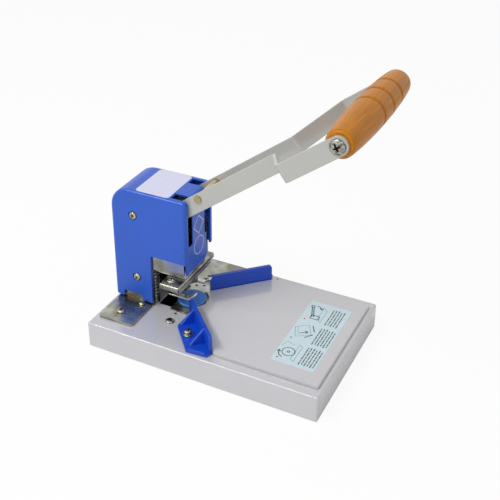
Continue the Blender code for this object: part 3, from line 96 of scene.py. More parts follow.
# Screws: heads and shanks in metres
PAN_HEIGHT = 0.0028
PAN_SHANK = 0.0022
WASHER_HEIGHT = 0.0012
GUIDE_HEAD_HEIGHT = 0.0042
GUIDE_HEAD_RADIUS = 0.00415
HOUSING_HEAD_HEIGHT = 0.0022
HANDLE_HEAD_HEIGHT = 0.0036
HANDLE_SHANK = 0.003
FOOT_HEAD_HEIGHT = 0.0016
FOOT_SHANK = 0.0015
DOME_HEIGHT = 0.0022
SCREW_STEPS = 48
CROWN_STEPS = 10

# Shares of a screw's head: its straight rim, the edge under it, the washer's edge
RIM_SHARE = 0.35
GUIDE_RIM_SHARE = 0.7
UNDERCUT_HEIGHT_SHARE = 0.08
UNDERCUT_RADIUS_SHARE = 0.97
WASHER_EDGE_SHARE = 0.25

# Cross recess, in shares of its screw's head
RECESS_LENGTH_SHARE = 0.58
RECESS_WIDTH_SHARE = 0.14
RECESS_TIP_SHARE = 0.8
RECESS_DEPTH_SHARE = 0.62
RECESS_FLOOR_SHARE = 0.45
CUT_OVER = 0.001

# Darker and lighter tones: polished steel, yellow plating, and painted shade in a screw's recess
BRIGHT_STEEL = ("#a8a7a2", "#dad9d4")
YELLOW_ZINC = ("#6f6342", "#d6caa2")
RECESS_PAINTED_SHADE = ("#1d1c18", "#4b483c")

# Grip, its grooves at shares of its length
GRIP_END_RADIUS = 0.0125
GRIP_END_ROUND = 0.0018
GRIP_END_STEPS = 6
GRIP_BORE = 0.0048
GRIP_SWELL = 0.6
GRIP_STATIONS = 70
GRIP_STEPS = 96
GRIP_GROOVES = (0.44, 0.60, 0.77)
GROOVE_HALF = 0.0026
GROOVE_DEPTH = 0.0011
GROOVE_CLEAR = 1.4
# Painted shade: the grooves' copy of the wood is darkened by this factor
GROOVE_PAINTED_SHADE = 0.8
GROOVE_STEPS = 10

# Return springs
SPRING_RADIUS = 0.0043
WIRE_RADIUS = 0.0006
SPRING_CURLS = 9
CURL_POINTS = 24
WIRE_STEPS = 10


def ring_points(centre, radius, steps=40):
    """Points round a circle."""
    return [(centre[0] + radius * cos(2 * pi * k / steps),
             centre[1] + radius * sin(2 * pi * k / steps)) for k in range(steps)]


# Printed pieces
LABEL_THICKNESS = 0.00012
INK_THICKNESS = 0.00004
LABEL_LEFT, LABEL_RIGHT = 0.0295, 0.0683
LABEL_HALF = 0.0264
LABEL_CORNER = 0.004
CORNER_STEPS = 13
MITRE_LEAST = 0.4
STICKER_LEFT, STICKER_RIGHT = 0.1975, 0.2433
STICKER_FRONT, STICKER_REAR = -0.057, 0.0534
STICKER_CORNER = 0.0025

# Sheet print, in millimetres across and down as it is read. Each column has its strokes, as
# (ink, line width, closed, points), and the number of rules below them.
SHEET_COLUMNS = (4.5, 39.5, 75.0)
SHEET_DOT = (1.6, 5.0)
SHEET_DOT_RADIUS = 0.5
SHEET_SKETCHES = (
    ((("dark", 0.9, True, ring_points((14, 12), 6.5)),
      ("dark", 0.9, True, ring_points((14, 12), 1.2, 16)),
      ("dark", 1.1, False, [(4, 9), (5.5, 5.5), (9, 3.2), (13, 2.6)]),
      ("dark", 1.1, False, [(10.6, 1.2), (13, 2.6), (11.2, 4.6)]),
      ("pale", 0.6, True, [(2, 22), (27, 22), (29, 18), (4, 18)]),
      ("pale", 0.5, False, [(21, 2), (29, 5), (26, 14)])), 6),
    ((("pale", 0.6, True, [(5, 8), (20, 2), (29, 14), (14, 22)]),
      ("pale", 0.5, False, [(9, 9.5), (21, 4.8)]),
      ("dark", 1.1, False, [(7, 17), (15, 23.5)]),
      ("dark", 1.1, False, [(20, 23), (29, 18)]),
      ("dark", 1.0, False, [(12, 10), (17, 17)]),
      ("dark", 1.0, False, [(13.8, 16.2), (17, 17), (17.6, 13.6)])), 6),
    ((("pale", 0.6, True, [(2, 22), (23, 22), (28, 17), (7, 17)]),
      ("dark", 1.0, True, [(5, 18.5), (5, 9.5), (11, 9.5), (11, 18.5)]),
      ("dark", 1.1, False, [(8, 10.5), (25, 4.5)]),
      ("dark", 1.1, False, [(8, 12.5), (25, 6.5)]),
      ("dark", 1.0, True, ring_points((26, 5.2), 1.8, 16)),
      ("dark", 1.0, False, [(28.5, 9), (27.5, 13), (24, 15.5)]),
      ("dark", 1.0, False, [(25.6, 12.8), (24, 15.5), (27, 16.2)])), 5),
)
RULE_FIRST = 28.0
RULE_PITCH = 3.0
RULE_WIDTH = 1.15
RULE_GAP = 0.9
RULE_INDENT = 1.2
RULE_LENGTH = 30.0
RULE_LEAST = 2.0
RULE_DASHES = (4.6, 2.4, 5.8, 3.2, 6.4, 2.0, 3.8)

# Marks on the housing's end panel
PANEL_FACE = 0.0886
PANEL_MARK_HALF = (0.0102, 0.0105)
PANEL_MARK_PITCH = 0.0245
PANEL_MARK_HEIGHT = 0.129
PANEL_LINE = 0.0013

# Stage
KEY_PLACE, KEY_SIZE = (-0.6, -0.9, 1.5), (1.2, 0.25)
FILL_PLACE, FILL_SIZE = (1.2, -0.3, 0.9), (1.0, 1.0)
FLOOR_GLOW = 0.9
WHITE = (1, 1, 1, 1)


def linear(code):
    """Turn an sRGB hex value to linear RGB."""
    channels = [int(code[i:i + 2], 16) / 255 for i in (1, 3, 5)]
    return tuple(c / 12.92 if c <= 0.04045 else ((c + 0.055) / 1.055) ** 2.4 for c in channels)


def rgba(colour):
    """Add full alpha to a linear colour."""
    return (*colour[:3], 1.0)


def tone(code):
    """Turn an sRGB hex value to a linear colour with full alpha."""
    return rgba(linear(code))


def shade(colour, factor):
    """Lighten or darken a linear colour."""
    return rgba([min(1.0, channel * factor) for channel in colour[:3]])


def colour_setting(name, description, code):
    """Make a colour property whose default is an sRGB hex value."""
    return FloatVectorProperty(
        name=name, description=description, default=linear(code), subtype="COLOR",
        min=0.0, max=1.0)


def per_mm(size):
    """Noise scale whose features are about this many millimetres wide."""
    return 1000.0 / size


class RounderColours(PropertyGroup):
    """Colours of the pieces."""

    tray: colour_setting("Tray and bed", "Baked enamel of the folded base", "#cbcace")
    arms: colour_setting("Lever arms", "Baked enamel of the flat bars", "#b7b7b2")
    housing: colour_setting("Housing", "Moulded plastic of the housing", "#1456c8")
    guides: colour_setting("Guides", "Moulded plastic of the guides", "#0d4bc8")
    disc: colour_setting("Disc", "Face of the cutting disc", "#3f88f2")
    # The rim colour is painted light, a paler copy of the disc's blue for its sideways faces
    disc_rim_painted_light: colour_setting("Disc rim", "Rim of the cutting disc", "#6cb4fb")
    wood: colour_setting("Grip", "Varnished beech of the grip", "#c67b0a")
    label: colour_setting("Top label", "Vinyl of the blank label", "#dddef6")
    sticker: colour_setting("Bed sticker", "Paper of the guide sheet", "#d3e8ee")
    ink_dark: colour_setting("Dark ink", "Dark lines on the guide sheet", "#43585f")
    ink_pale: colour_setting("Pale ink", "Pale lines on the guide sheet", "#8fa9b6")
    ink_red: colour_setting("Red ink", "Dots on the guide sheet", "#a8305c")
    panel_mark: colour_setting("End marks", "Plain marks on the housing's end", "#aebfe6")


class RounderSizes(PropertyGroup):
    """Sizes of the finish, in metres."""

    fold_round: FloatProperty(
        name="Sheet edge", description="Rounding of cut sheet edges", default=0.0003,
        min=0.0, unit="LENGTH")
    bend_round: FloatProperty(
        name="Sheet bend", description="Rounding of folds in the painted sheet",
        default=0.0008, min=0.0, unit="LENGTH")
    mould_round: FloatProperty(
        name="Moulded edge", description="Rounding of moulded edges", default=0.0005,
        min=0.0, unit="LENGTH")
    ground_round: FloatProperty(
        name="Ground edge", description="Rounding of ground steel edges", default=0.00025,
        min=0.0, unit="LENGTH")
    edge_segments: IntProperty(
        name="Edge segments", description="Faces across a rounded edge", default=2, min=1, max=6)


class RounderStage(PropertyGroup):
    """Camera, lamps and floor."""

    azimuth: FloatProperty(
        name="Azimuth", description="Camera turn round the part", default=radians(27.03),
        subtype="ANGLE")
    elevation: FloatProperty(
        name="Elevation", description="Camera height above the horizon",
        default=radians(29.04), subtype="ANGLE")
    camera_place: FloatVectorProperty(
        name="Camera place", description="Where the camera stands",
        default=(0.3362, -0.6976, 0.6000), subtype="TRANSLATION", unit="LENGTH")
    lens: FloatProperty(
        name="Focal length", description="Lens in millimetres", default=64.677, min=1.0)
    shift: FloatVectorProperty(
        name="Shift", description="Camera shift in frame widths", default=(0.05, -0.10), size=2)
    floor_size: FloatProperty(
        name="Floor", description="Side of the floor", default=8.0, min=1.0, unit="LENGTH")
    sky: FloatProperty(
        name="Sky", description="Strength of the even light", default=0.52, min=0.0)
    key: FloatProperty(
        name="Key lamp", description="Power of the main lamp", default=15.0, min=0.0,
        unit="POWER")
    fill: FloatProperty(
        name="Fill lamp", description="Power of the fill lamp", default=0.4, min=0.0,
        unit="POWER")


def add_node(tree, kind, settings=None, inputs=None):
    """Add one node, set its properties, then set or link its inputs."""
    node = tree.nodes.new(kind)
    for name, value in (settings or {}).items():
        setattr(node, name, value)
    for name, value in (inputs or {}).items():
        socket = node.inputs[name]
        if isinstance(value, bpy.types.NodeSocket):
            tree.links.new(value, socket)
        else:
            socket.default_value = value
    return node


def surface_material(name, build):
    """Make a material once: build adds its nodes and returns the shader's inputs."""
    material = bpy.data.materials.get(name)
    if material is None:
        material = bpy.data.materials.new(name)
        material.use_nodes = True
        tree = material.node_tree
        tree.nodes.clear()
        place = add_node(tree, "ShaderNodeTexCoord").outputs["Object"]
        shader = add_node(tree, "ShaderNodeBsdfPrincipled", {}, build(tree, place))
        add_node(tree, "ShaderNodeOutputMaterial", {}, {"Surface": shader.outputs[0]})
    return material


def clouded(tree, place, size, first, second, band=(0.35, 0.65), stretch=(1, 1, 1)):
    """Colour that drifts between two tones in soft patches, their size in millimetres."""
    scale = tuple(per_mm(size) / part for part in stretch)
    mapped = add_node(tree, "ShaderNodeMapping", {}, {"Vector": place, "Scale": scale})
    patches = add_node(
        tree, "ShaderNodeTexNoise", {}, {"Vector": mapped.outputs[0], "Scale": 1.0})
    share = add_node(
        tree, "ShaderNodeMapRange", {},
        {"Value": patches.outputs[0], "From Min": band[0], "From Max": band[1]})
    mix = add_node(
        tree, "ShaderNodeMix", {"data_type": "RGBA"}, {0: share.outputs[0], 6: first, 7: second})
    return mix.outputs[2]


def grained(tree, place, size, depth, gloss, stretch=(1, 1, 1), detail=2.0):
    """Roughness and relief of one grain: its size in millimetres, its depth in metres."""
    scale = tuple(per_mm(size) / part for part in stretch)
    mapped = add_node(tree, "ShaderNodeMapping", {}, {"Vector": place, "Scale": scale})
    grain = add_node(
        tree, "ShaderNodeTexNoise", {},
        {"Vector": mapped.outputs[0], "Scale": 1.0, "Detail": detail})
    rough = add_node(
        tree, "ShaderNodeMapRange", {},
        {"Value": grain.outputs[0], "From Min": 0.3, "From Max": 0.7, "To Min": gloss[0],
         "To Max": gloss[1]})
    raised = add_node(
        tree, "ShaderNodeBump", {}, {"Height": grain.outputs[0], "Distance": depth})
    return {"Roughness": rough.outputs[0], "Normal": raised.outputs[0]}


def baked_enamel(name, colour):
    """Stoving enamel on sheet steel."""

    def build(tree, place):
        # Sprayed and baked: even, with fine orange peel under a glossy skin that lights folds
        return {
            "Base Color": clouded(tree, place, 60.0, shade(colour, 0.965), rgba(colour)),
            "IOR": 1.5,
            "Coat Weight": 1.0,
            "Coat Roughness": 0.12,
            "Coat IOR": 1.6,
            **grained(tree, place, 2.4, 0.000004, (0.22, 0.27), detail=1.0),
        }

    return surface_material(name, build)


def moulded_abs(name, colour):
    """Injection-moulded ABS."""

    def build(tree, place):
        # Spark-eroded tool: a satin skin, its highlight broken up by fine sandy grain
        return {
            "Base Color": clouded(tree, place, 45.0, shade(colour, 0.94), shade(colour, 1.04)),
            "IOR": 1.54,
            **grained(tree, place, 0.7, 0.00001, (0.24, 0.34)),
        }

    return surface_material(name, build)


def moulded_polyethylene(name, face, rim):
    """Moulded polyethylene pad, its rim painted paler than its face as painted light on the side
    wall.
    """

    def build(tree, place):
        # Waxy and a little translucent, with faint arcs where the blade has pressed
        # Painted light: faces that turn sideways take the paler rim colour, a painted highlight
        # on the side wall
        facing = add_node(tree, "ShaderNodeNewGeometry")
        upward = add_node(
            tree, "ShaderNodeSeparateXYZ", {}, {"Vector": facing.outputs["True Normal"]})
        side = add_node(
            tree, "ShaderNodeMapRange", {},
            {"Value": upward.outputs["Z"], "From Min": 0.3, "From Max": 0.9, "To Min": 1.0,
             "To Max": 0.0})
        skin = clouded(tree, place, 6.0, shade(face, 0.9), shade(face, 1.08))
        mix = add_node(
            tree, "ShaderNodeMix", {"data_type": "RGBA"},
            {0: side.outputs[0], 6: skin, 7: rgba(rim)})
        return {
            "Base Color": mix.outputs[2],
            "IOR": 1.51,
            "Subsurface Weight": 0.1,
            "Subsurface Scale": 0.002,
            **grained(tree, place, 0.8, 0.00003, (0.38, 0.52), (1, 4, 1)),
        }

    return surface_material(name, build)


def zinc_plated_sheet(name):
    """Zinc-plated rolled sheet under a passivation film."""

    def build(tree, place):
        # Grey mirror, clouded olive, brown and blue by the film, with fine rolling lines
        plain = clouded(tree, place, 22.0, tone("#83837a"), tone("#b3b4a8"), (0.38, 0.62))
        cool = clouded(tree, place, 34.0, plain, tone("#8189ae"), (0.52, 0.7))
        return {
            "Base Color": clouded(
                tree, place, 15.0, cool, tone("#8e7d60"), (0.56, 0.74), (1, 1.6, 1)),
            "Metallic": 1.0,
            **grained(tree, place, 0.9, 0.000008, (0.22, 0.34), (30, 1, 1)),
        }

    return surface_material(name, build)


def ground_tool_steel(name, dark="#74736c", light="#a8a7a0", lines=(1, 25, 1)):
    """Surface-ground tool steel."""

    def build(tree, place):
        # Bright, crossed by fine straight lines that the grinding wheel leaves
        return {
            "Base Color": clouded(tree, place, 12.0, tone(dark), tone(light)),
            "Metallic": 1.0,
            **grained(tree, place, 0.45, 0.00001, (0.18, 0.36), lines, 3.0),
        }

    return surface_material(name, build)


def plated_screw(name, low, high, patch=2.5):
    """Cold-headed steel screw or rod with a thin bright plating."""

    def build(tree, place):
        # The film dulls in small patches between the bright ones
        return {
            "Base Color": clouded(tree, place, patch, tone(low), tone(high)),
            "Metallic": 1.0,
            **grained(tree, place, 0.6, 0.00001, (0.2, 0.34)),
        }

    return surface_material(name, build)


def sintered_bronze(name):
    """Pressed and sintered bronze bushing."""

    def build(tree, place):
        # Warm and matt, with open dark pores
        return {
            "Base Color": clouded(
                tree, place, 0.5, tone("#6a4a26"), tone("#b08652"), (0.3, 0.5)),
            "Metallic": 1.0,
            **grained(tree, place, 0.5, 0.00003, (0.5, 0.35)),
        }

    return surface_material(name, build)


def moulded_rubber(name):
    """Compression-moulded rubber."""

    def build(tree, place):
        # Matt black under a dusty bloom
        return {
            "Base Color": clouded(
                tree, place, 4.0, tone("#232323"), tone("#383838"), (0.4, 0.7)),
            "IOR": 1.52,
            **grained(tree, place, 0.6, 0.00004, (0.74, 0.86)),
        }

    return surface_material(name, build)


def textured_polypropylene(name):
    """Vacuum-formed polypropylene sheet."""

    def build(tree, place):
        # Dark, with the leathery cells of its mould
        cells = add_node(
            tree, "ShaderNodeTexVoronoi", {"feature": "DISTANCE_TO_EDGE"},
            {"Vector": place, "Scale": per_mm(1.4)})
        raised = add_node(
            tree, "ShaderNodeMapRange", {},
            {"Value": cells.outputs["Distance"], "From Max": 0.2})
        mix = add_node(
            tree, "ShaderNodeMix", {"data_type": "RGBA"},
            {0: raised.outputs[0], 6: tone("#202226"), 7: tone("#303338")})
        relief = add_node(
            tree, "ShaderNodeBump", {}, {"Height": raised.outputs[0], "Distance": 0.00006})
        return {"Base Color": mix.outputs[2], "Roughness": 0.55, "IOR": 1.49,
                "Normal": relief.outputs[0]}

    return surface_material(name, build)


def varnished_beech(name, colour, painted_shade_factor=1.0):
    """Turned beech under clear gloss varnish; the grooves get a darkened copy of it, painted
    shade in the grooves.
    """

    def build(tree, place):
        # Broad golden figure, finer growth rings and short dark rays, all along the grip
        body = clouded(tree, place, 9.0, shade(colour, 0.78 * painted_shade_factor), shade(colour, 1.05 * painted_shade_factor),
                       (0.3, 0.7), (1, 9, 1))
        body = clouded(tree, place, 2.2, body, shade(colour, 1.25 * painted_shade_factor), (0.5, 0.95),
                       (1, 16, 1))
        body = clouded(tree, place, 0.55, body, shade(colour, 0.5 * painted_shade_factor), (0.62, 0.85),
                       (1, 7, 1))
        return {
            "Base Color": body,
            "IOR": 1.5,
            "Specular IOR Level": 0.1,
            "Coat Weight": 0.35,
            "Coat Roughness": 0.1,
            "Coat IOR": 1.5,
            **grained(tree, place, 0.55, 0.00003, (0.42, 0.58), (1, 7, 1)),
        }

    return surface_material(name, build)


def printed_film(name, colour, gloss):
    """Self-adhesive vinyl film."""

    def build(tree, place):
        # Flat and clean, with a slow wave in its gloss
        return {
            "Base Color": clouded(tree, place, 1.2, shade(colour, 0.975), rgba(colour)),
            "IOR": 1.5,
            **grained(tree, place, 14.0, 0.00004, (gloss - 0.04, gloss + 0.04), detail=1.0),
        }

    return surface_material(name, build)


def joining_group():
    """Node group that joins an imported solid's split vertices and drops its stored normals."""
    name = "join_split_vertices"
    group = bpy.data.node_groups.get(name)
    if group is None:
        group = bpy.data.node_groups.new(name, "GeometryNodeTree")
        for way in ("INPUT", "OUTPUT"):
            group.interface.new_socket("Geometry", in_out=way, socket_type="NodeSocketGeometry")
        start = add_node(group, "NodeGroupInput")
        drop = add_node(
            group, "GeometryNodeRemoveAttribute", {},
            {"Geometry": start.outputs[0], "Name": "custom_normal"})
        join = add_node(
            group, "GeometryNodeMergeByDistance", {},
            {"Geometry": drop.outputs[0], "Distance": JOIN_DISTANCE})
        smooth = add_node(
            group, "GeometryNodeSetShadeSmooth", {}, {"Geometry": join.outputs[0]})
        add_node(group, "NodeGroupOutput", {}, {"Geometry": smooth.outputs[0]})
    return group


def join_faces(obj):
    """Join the triangles of an object's flat faces."""
    merge = obj.modifiers.new("joined faces", "DECIMATE")
    merge.decimate_type = "DISSOLVE"
    merge.angle_limit = FLAT_ANGLE


def round_edges(obj, width, clamp):
    """Round an object's sharp edges and keep its flat faces flat.

    The bevel works on a fresh split of each face, since a long seam between two joined faces
    would be pulled across its neighbour.
    """
    sizes = bpy.context.scene.rounder_sizes
    obj.modifiers.new("split faces", "TRIANGULATE")
    edges = obj.modifiers.new("rounded edges", "BEVEL")
    edges.width = width
    edges.segments = sizes.edge_segments
    edges.limit_method = "ANGLE"
    edges.angle_limit = SHARP_ANGLE
    edges.use_clamp_overlap = clamp
    edges.loop_slide = False
    join_faces(obj)
    flat = obj.modifiers.new("flat faces", "WEIGHTED_NORMAL")
    flat.mode = "FACE_AREA"
    flat.weight = WHOLE_FACE_WEIGHT


def dress(nodes, material, width, clamp=True):
    """Give carried-over CAD nodes a material, joined vertices and rounded edges.

    The clamp narrows every edge of a node to suit its closest pair of edges.
    """
    for name in nodes:
        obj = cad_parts[name]
        obj.data.materials.clear()
        obj.data.materials.append(material)
        join = obj.modifiers.new("joined vertices", "NODES")
        join.node_group = joining_group()
        join_faces(obj)
        round_edges(obj, width, clamp)


def add_piece(name, bm, materials, body, replaced=()):
    """Turn a bmesh in the row frame into a piece that rides on a body."""
    bmesh.ops.recalc_face_normals(bm, faces=bm.faces)
    mesh = bpy.data.meshes.new(name)
    bm.to_mesh(mesh)
    bm.free()
    for material in materials:
        mesh.materials.append(material)
    mesh.shade_smooth()
    mesh.set_sharp_from_angle(angle=SHARP_ANGLE)
    obj = bpy.data.objects.new(name, mesh)
    bpy.context.scene.collection.objects.link(obj)
    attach(obj, body)
    if replaced:
        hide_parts(*replaced)
    return obj


def lathe(bm, profile, steps, groove_rows=()):
    """Turn a profile of (radius, height) points about Z; groove rows get material 1."""
    rings = []
    for radius, height in profile:
        if radius == 0:
            rings.append([bm.verts.new((0, 0, height))])
            continue
        rings.append([
            bm.verts.new((radius * cos(2 * pi * k / steps), radius * sin(2 * pi * k / steps),
                          height))
            for k in range(steps)])
    for row, (first, second) in enumerate(zip(rings, rings[1:])):
        for k in range(steps):
            follow = (k + 1) % steps
            corners = [first[k % len(first)], first[follow % len(first)],
                       second[follow % len(second)], second[k % len(second)]]
            unique = list(dict.fromkeys(corners))
            if len(unique) > 2:
                face = bm.faces.new(unique)
                face.material_index = 1 if row in groove_rows else 0


def place_bm(bm, place, way):
    """Move a bmesh built about Z to a place, its top looking along a way."""
    turn = Vector(way).to_track_quat("Z", "Y").to_matrix().to_4x4()
    bmesh.ops.transform(bm, matrix=Matrix.Translation(place) @ turn, verts=bm.verts)


def cut_cross(bm, head, height, materials):
    """Cut a tapered cross recess, in the second material, into a screw head about Z."""
    cutter = bmesh.new()
    depth = height * RECESS_DEPTH_SHARE
    levels = ((height - depth, RECESS_FLOOR_SHARE),
              (height + CUT_OVER, 1.0 + CUT_OVER / depth / 2))
    rings = []
    for level, share in levels:
        long, slim = head * RECESS_LENGTH_SHARE * share, head * RECESS_WIDTH_SHARE * share
        tip = slim * RECESS_TIP_SHARE
        ring = []
        for quarter in range(4):
            turn = Matrix.Rotation(quarter * pi / 2, 2)
            for x, y in ((long, -tip), (long, tip), (slim, slim)):
                point = turn @ Vector((x, y))
                ring.append(cutter.verts.new((point.x, point.y, level)))
        rings.append(ring)
    count = len(rings[0])
    for k in range(count):
        follow = (k + 1) % count
        cutter.faces.new([rings[0][k], rings[0][follow], rings[1][follow], rings[1][k]])
    cutter.faces.new(rings[0][::-1])
    cutter.faces.new(rings[1])
    for face in cutter.faces:
        face.material_index = 1
    bmesh.ops.recalc_face_normals(cutter, faces=cutter.faces)
    objects = []
    for name, source in (("screw_body", bm), ("cross_cutter", cutter)):
        mesh = bpy.data.meshes.new(name)
        bmesh.ops.recalc_face_normals(source, faces=source.faces)
        source.to_mesh(mesh)
        for material in materials:
            mesh.materials.append(material)
        obj = bpy.data.objects.new(name, mesh)
        bpy.context.scene.collection.objects.link(obj)
        objects.append(obj)
    cutter.free()
    body, tool = objects
    cut = body.modifiers.new("recess", "BOOLEAN")
    cut.operation = "DIFFERENCE"
    cut.solver = "EXACT"
    cut.object = tool
    cut_mesh = bpy.data.meshes.new_from_object(
        body.evaluated_get(bpy.context.evaluated_depsgraph_get()))
    bm.clear()
    bm.from_mesh(cut_mesh)
    for obj in objects:
        mesh = obj.data
        bpy.data.objects.remove(obj, do_unlink=True)
        bpy.data.meshes.remove(mesh)
    bpy.data.meshes.remove(cut_mesh)


def screw_profile(head, height, shank, reach, washer, rim_share):
    """Profile of a pan head, with its washer and shank, listed from the crown down."""
    rim = height * rim_share
    lift = WASHER_HEIGHT if washer else 0
    profile = [(head * sin(a), rim + (height - rim) * cos(a) + lift)
               for a in (pi / 2 * k / CROWN_STEPS for k in range(CROWN_STEPS + 1))]
    profile += [(head, lift + height * UNDERCUT_HEIGHT_SHARE),
                (head * UNDERCUT_RADIUS_SHARE, lift)]
    if washer:
        edge = WASHER_HEIGHT * WASHER_EDGE_SHARE
        profile += [(washer - edge, lift), (washer, lift - edge), (washer, edge),
                    (washer - edge, 0)]
    return profile + [(shank, 0), (shank, -reach), (0, -reach)]


def add_screw(node, body, way, material, height, shank, washer_head=0, recess=True,
              turn=0.4, rim_share=RIM_SHARE):
    """Replace a CAD screw by a finer one that fills the same space.

    With washer_head, the radius of a head on a washer, the washer takes the CAD head's width.
    """
    low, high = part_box(node)
    axis = 2 if way[2] else 1
    sign = way[axis]
    outer = (high.x - low.x) / 2
    lift = WASHER_HEIGHT if washer_head else 0
    head = washer_head or outer
    place = (low + high) / 2
    place[axis] = (high if sign > 0 else low)[axis] - sign * (height + lift)
    # The cross recess takes a near-black copy of the plating, painted shade in the recess
    materials = [material, plated_screw("screw_recess", *RECESS_PAINTED_SHADE)]
    bm = bmesh.new()
    lathe(bm, screw_profile(head, height, shank, high[axis] - low[axis] - height - lift,
                            outer if washer_head else 0, rim_share), SCREW_STEPS)
    if recess:
        bmesh.ops.translate(bm, vec=(0, 0, -lift), verts=bm.verts)
        cut_cross(bm, head, height, materials)
        bmesh.ops.translate(bm, vec=(0, 0, lift), verts=bm.verts)
    bmesh.ops.rotate(bm, matrix=Matrix.Rotation(turn, 3, "Z"), verts=bm.verts)
    place_bm(bm, place, way)
    add_piece(node + "_fine", bm, materials, body, [node])


def film_bm(left, right, front, rear, corner, level):
    """Rectangle of film with rounded corners on a level, its x from the base's left end."""
    left, right = BASE_LEFT + left + corner, BASE_LEFT + right - corner
    front, rear = front + corner, rear - corner
    centres = ((left, front), (right, front), (right, rear), (left, rear))
    outline = [(x + corner * cos(angle), y + corner * sin(angle))
               for quarter, (x, y) in enumerate(centres, 2)
               for angle in (pi / 2 * (quarter + k / CORNER_STEPS)
                             for k in range(CORNER_STEPS + 1))]
    bm = bmesh.new()
    bottom, top = [[bm.verts.new((x, y, z)) for x, y in outline]
                   for z in (level, level + LABEL_THICKNESS)]
    bm.faces.new(bottom[::-1])
    bm.faces.new(top)
    for k in range(len(outline)):
        follow = (k + 1) % len(outline)
        bm.faces.new([bottom[k], bottom[follow], top[follow], top[k]])
    return bm


def stroke(bm, points, width, low, high, closed=False):
    """Lay a flat line of ink along 2D points."""
    points = [Vector(p) for p in points]
    count = len(points)
    rails = ([], [])
    for i, here in enumerate(points):
        before = points[i - 1] if i or closed else None
        after = points[(i + 1) % count] if i < count - 1 or closed else None
        ways = [w.normalized() for w in (
            here - before if before is not None else None,
            after - here if after is not None else None) if w is not None]
        way = sum(ways, Vector((0, 0))).normalized()
        side = Vector((-way.y, way.x))
        reach = width / 2 / max(MITRE_LEAST, side.dot(Vector((-ways[0].y, ways[0].x))))
        rails[0].append(here + side * reach)
        rails[1].append(here - side * reach)
    rings = [[bm.verts.new((p.x, p.y, level)) for p in rail]
             for rail in rails for level in (low, high)]
    left_low, left_high, right_low, right_high = rings
    for k in range(count if closed else count - 1):
        follow = (k + 1) % count
        bm.faces.new([left_high[k], left_high[follow], right_high[follow], right_high[k]])
        bm.faces.new([left_low[k], right_low[k], right_low[follow], left_low[follow]])
        bm.faces.new([left_low[k], left_low[follow], left_high[follow], left_high[k]])
        bm.faces.new([right_low[k], right_high[k], right_high[follow], right_low[follow]])
    if not closed:
        for k in (0, count - 1):
            bm.faces.new([left_low[k], left_high[k], right_high[k], right_low[k]])


def tube(bm, points, radius, steps):
    """Sweep a round wire along points, with closed ends."""
    way = (points[1] - points[0]).normalized()
    side = way.orthogonal().normalized()
    rings = []
    for i, here in enumerate(points):
        ahead = points[min(i + 1, len(points) - 1)] - points[max(i - 1, 0)]
        turn = way.rotation_difference(ahead.normalized())
        side = turn @ side
        way = ahead.normalized()
        up = way.cross(side)
        rings.append([
            bm.verts.new(here + (side * cos(2 * pi * k / steps) + up * sin(2 * pi * k / steps))
                         * radius)
            for k in range(steps)])
    for first, second in zip(rings, rings[1:]):
        for k in range(steps):
            follow = (k + 1) % steps
            bm.faces.new([first[k], first[follow], second[follow], second[k]])
    bm.faces.new(rings[0][::-1])
    bm.faces.new(rings[-1])


class ROUNDER_OT_base(Operator):
    """Dress the folded tray, the bed plate, the cover and the feet."""

    bl_idname = "rounder.base"
    bl_label = "Base"

    def execute(self, context):
        colours, sizes = context.scene.rounder_colours, context.scene.rounder_sizes
        enamel = baked_enamel("baked_enamel_steel", colours.tray)
        dress(("base_tray", "bed_plate"), enamel, sizes.bend_round)
        dress(("bottom_cover",), textured_polypropylene("textured_polypropylene"),
              sizes.mould_round)
        feet = [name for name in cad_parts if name.startswith("foot_")
                and "screw" not in name]
        dress(feet, moulded_rubber("moulded_rubber"), sizes.mould_round)
        return {"FINISHED"}


class ROUNDER_OT_plates(Operator):
    """Dress the die plate, the side frames, their spacers and the stripper fork."""

    bl_idname = "rounder.plates"
    bl_label = "Plates and frames"

    def execute(self, context):
        sizes = context.scene.rounder_sizes
        zinc = zinc_plated_sheet("zinc_plated_sheet")
        dress(("die_plate", "frame_front", "frame_rear"), zinc,
              sizes.fold_round)
        steel = ground_tool_steel("ground_tool_steel")
        dress(("frame_spacer_upper", "frame_spacer_lower", "pivot_pin"), steel,
              sizes.ground_round)
        dress(("stripper_fork",), ground_tool_steel("ground_tool_steel_bright", *BRIGHT_STEEL),
              sizes.ground_round)
        return {"FINISHED"}


class ROUNDER_OT_housing(Operator):
    """Dress the moulded housing."""

    bl_idname = "rounder.housing"
    bl_label = "Housing"

    def execute(self, context):
        colours, sizes = context.scene.rounder_colours, context.scene.rounder_sizes
        dress(("housing",), moulded_abs("moulded_abs_housing", colours.housing),
              sizes.mould_round, clamp=False)
        return {"FINISHED"}


class ROUNDER_OT_guides(Operator):
    """Dress the two 45 degree paper guides."""

    bl_idname = "rounder.guides"
    bl_label = "Paper guides"

    def execute(self, context):
        colours, sizes = context.scene.rounder_colours, context.scene.rounder_sizes
        dress(("guide_front", "guide_rear"), moulded_abs("moulded_abs_guides", colours.guides),
              sizes.mould_round)
        return {"FINISHED"}


class ROUNDER_OT_disc(Operator):
    """Dress the turning cutting disc."""

    bl_idname = "rounder.disc"
    bl_label = "Cutting disc"

    def execute(self, context):
        colours, sizes = context.scene.rounder_colours, context.scene.rounder_sizes
        pad = moulded_polyethylene("moulded_polyethylene_pad", colours.disc, colours.disc_rim_painted_light)
        dress(("cutting_disc",), pad, sizes.ground_round)
        return {"FINISHED"}


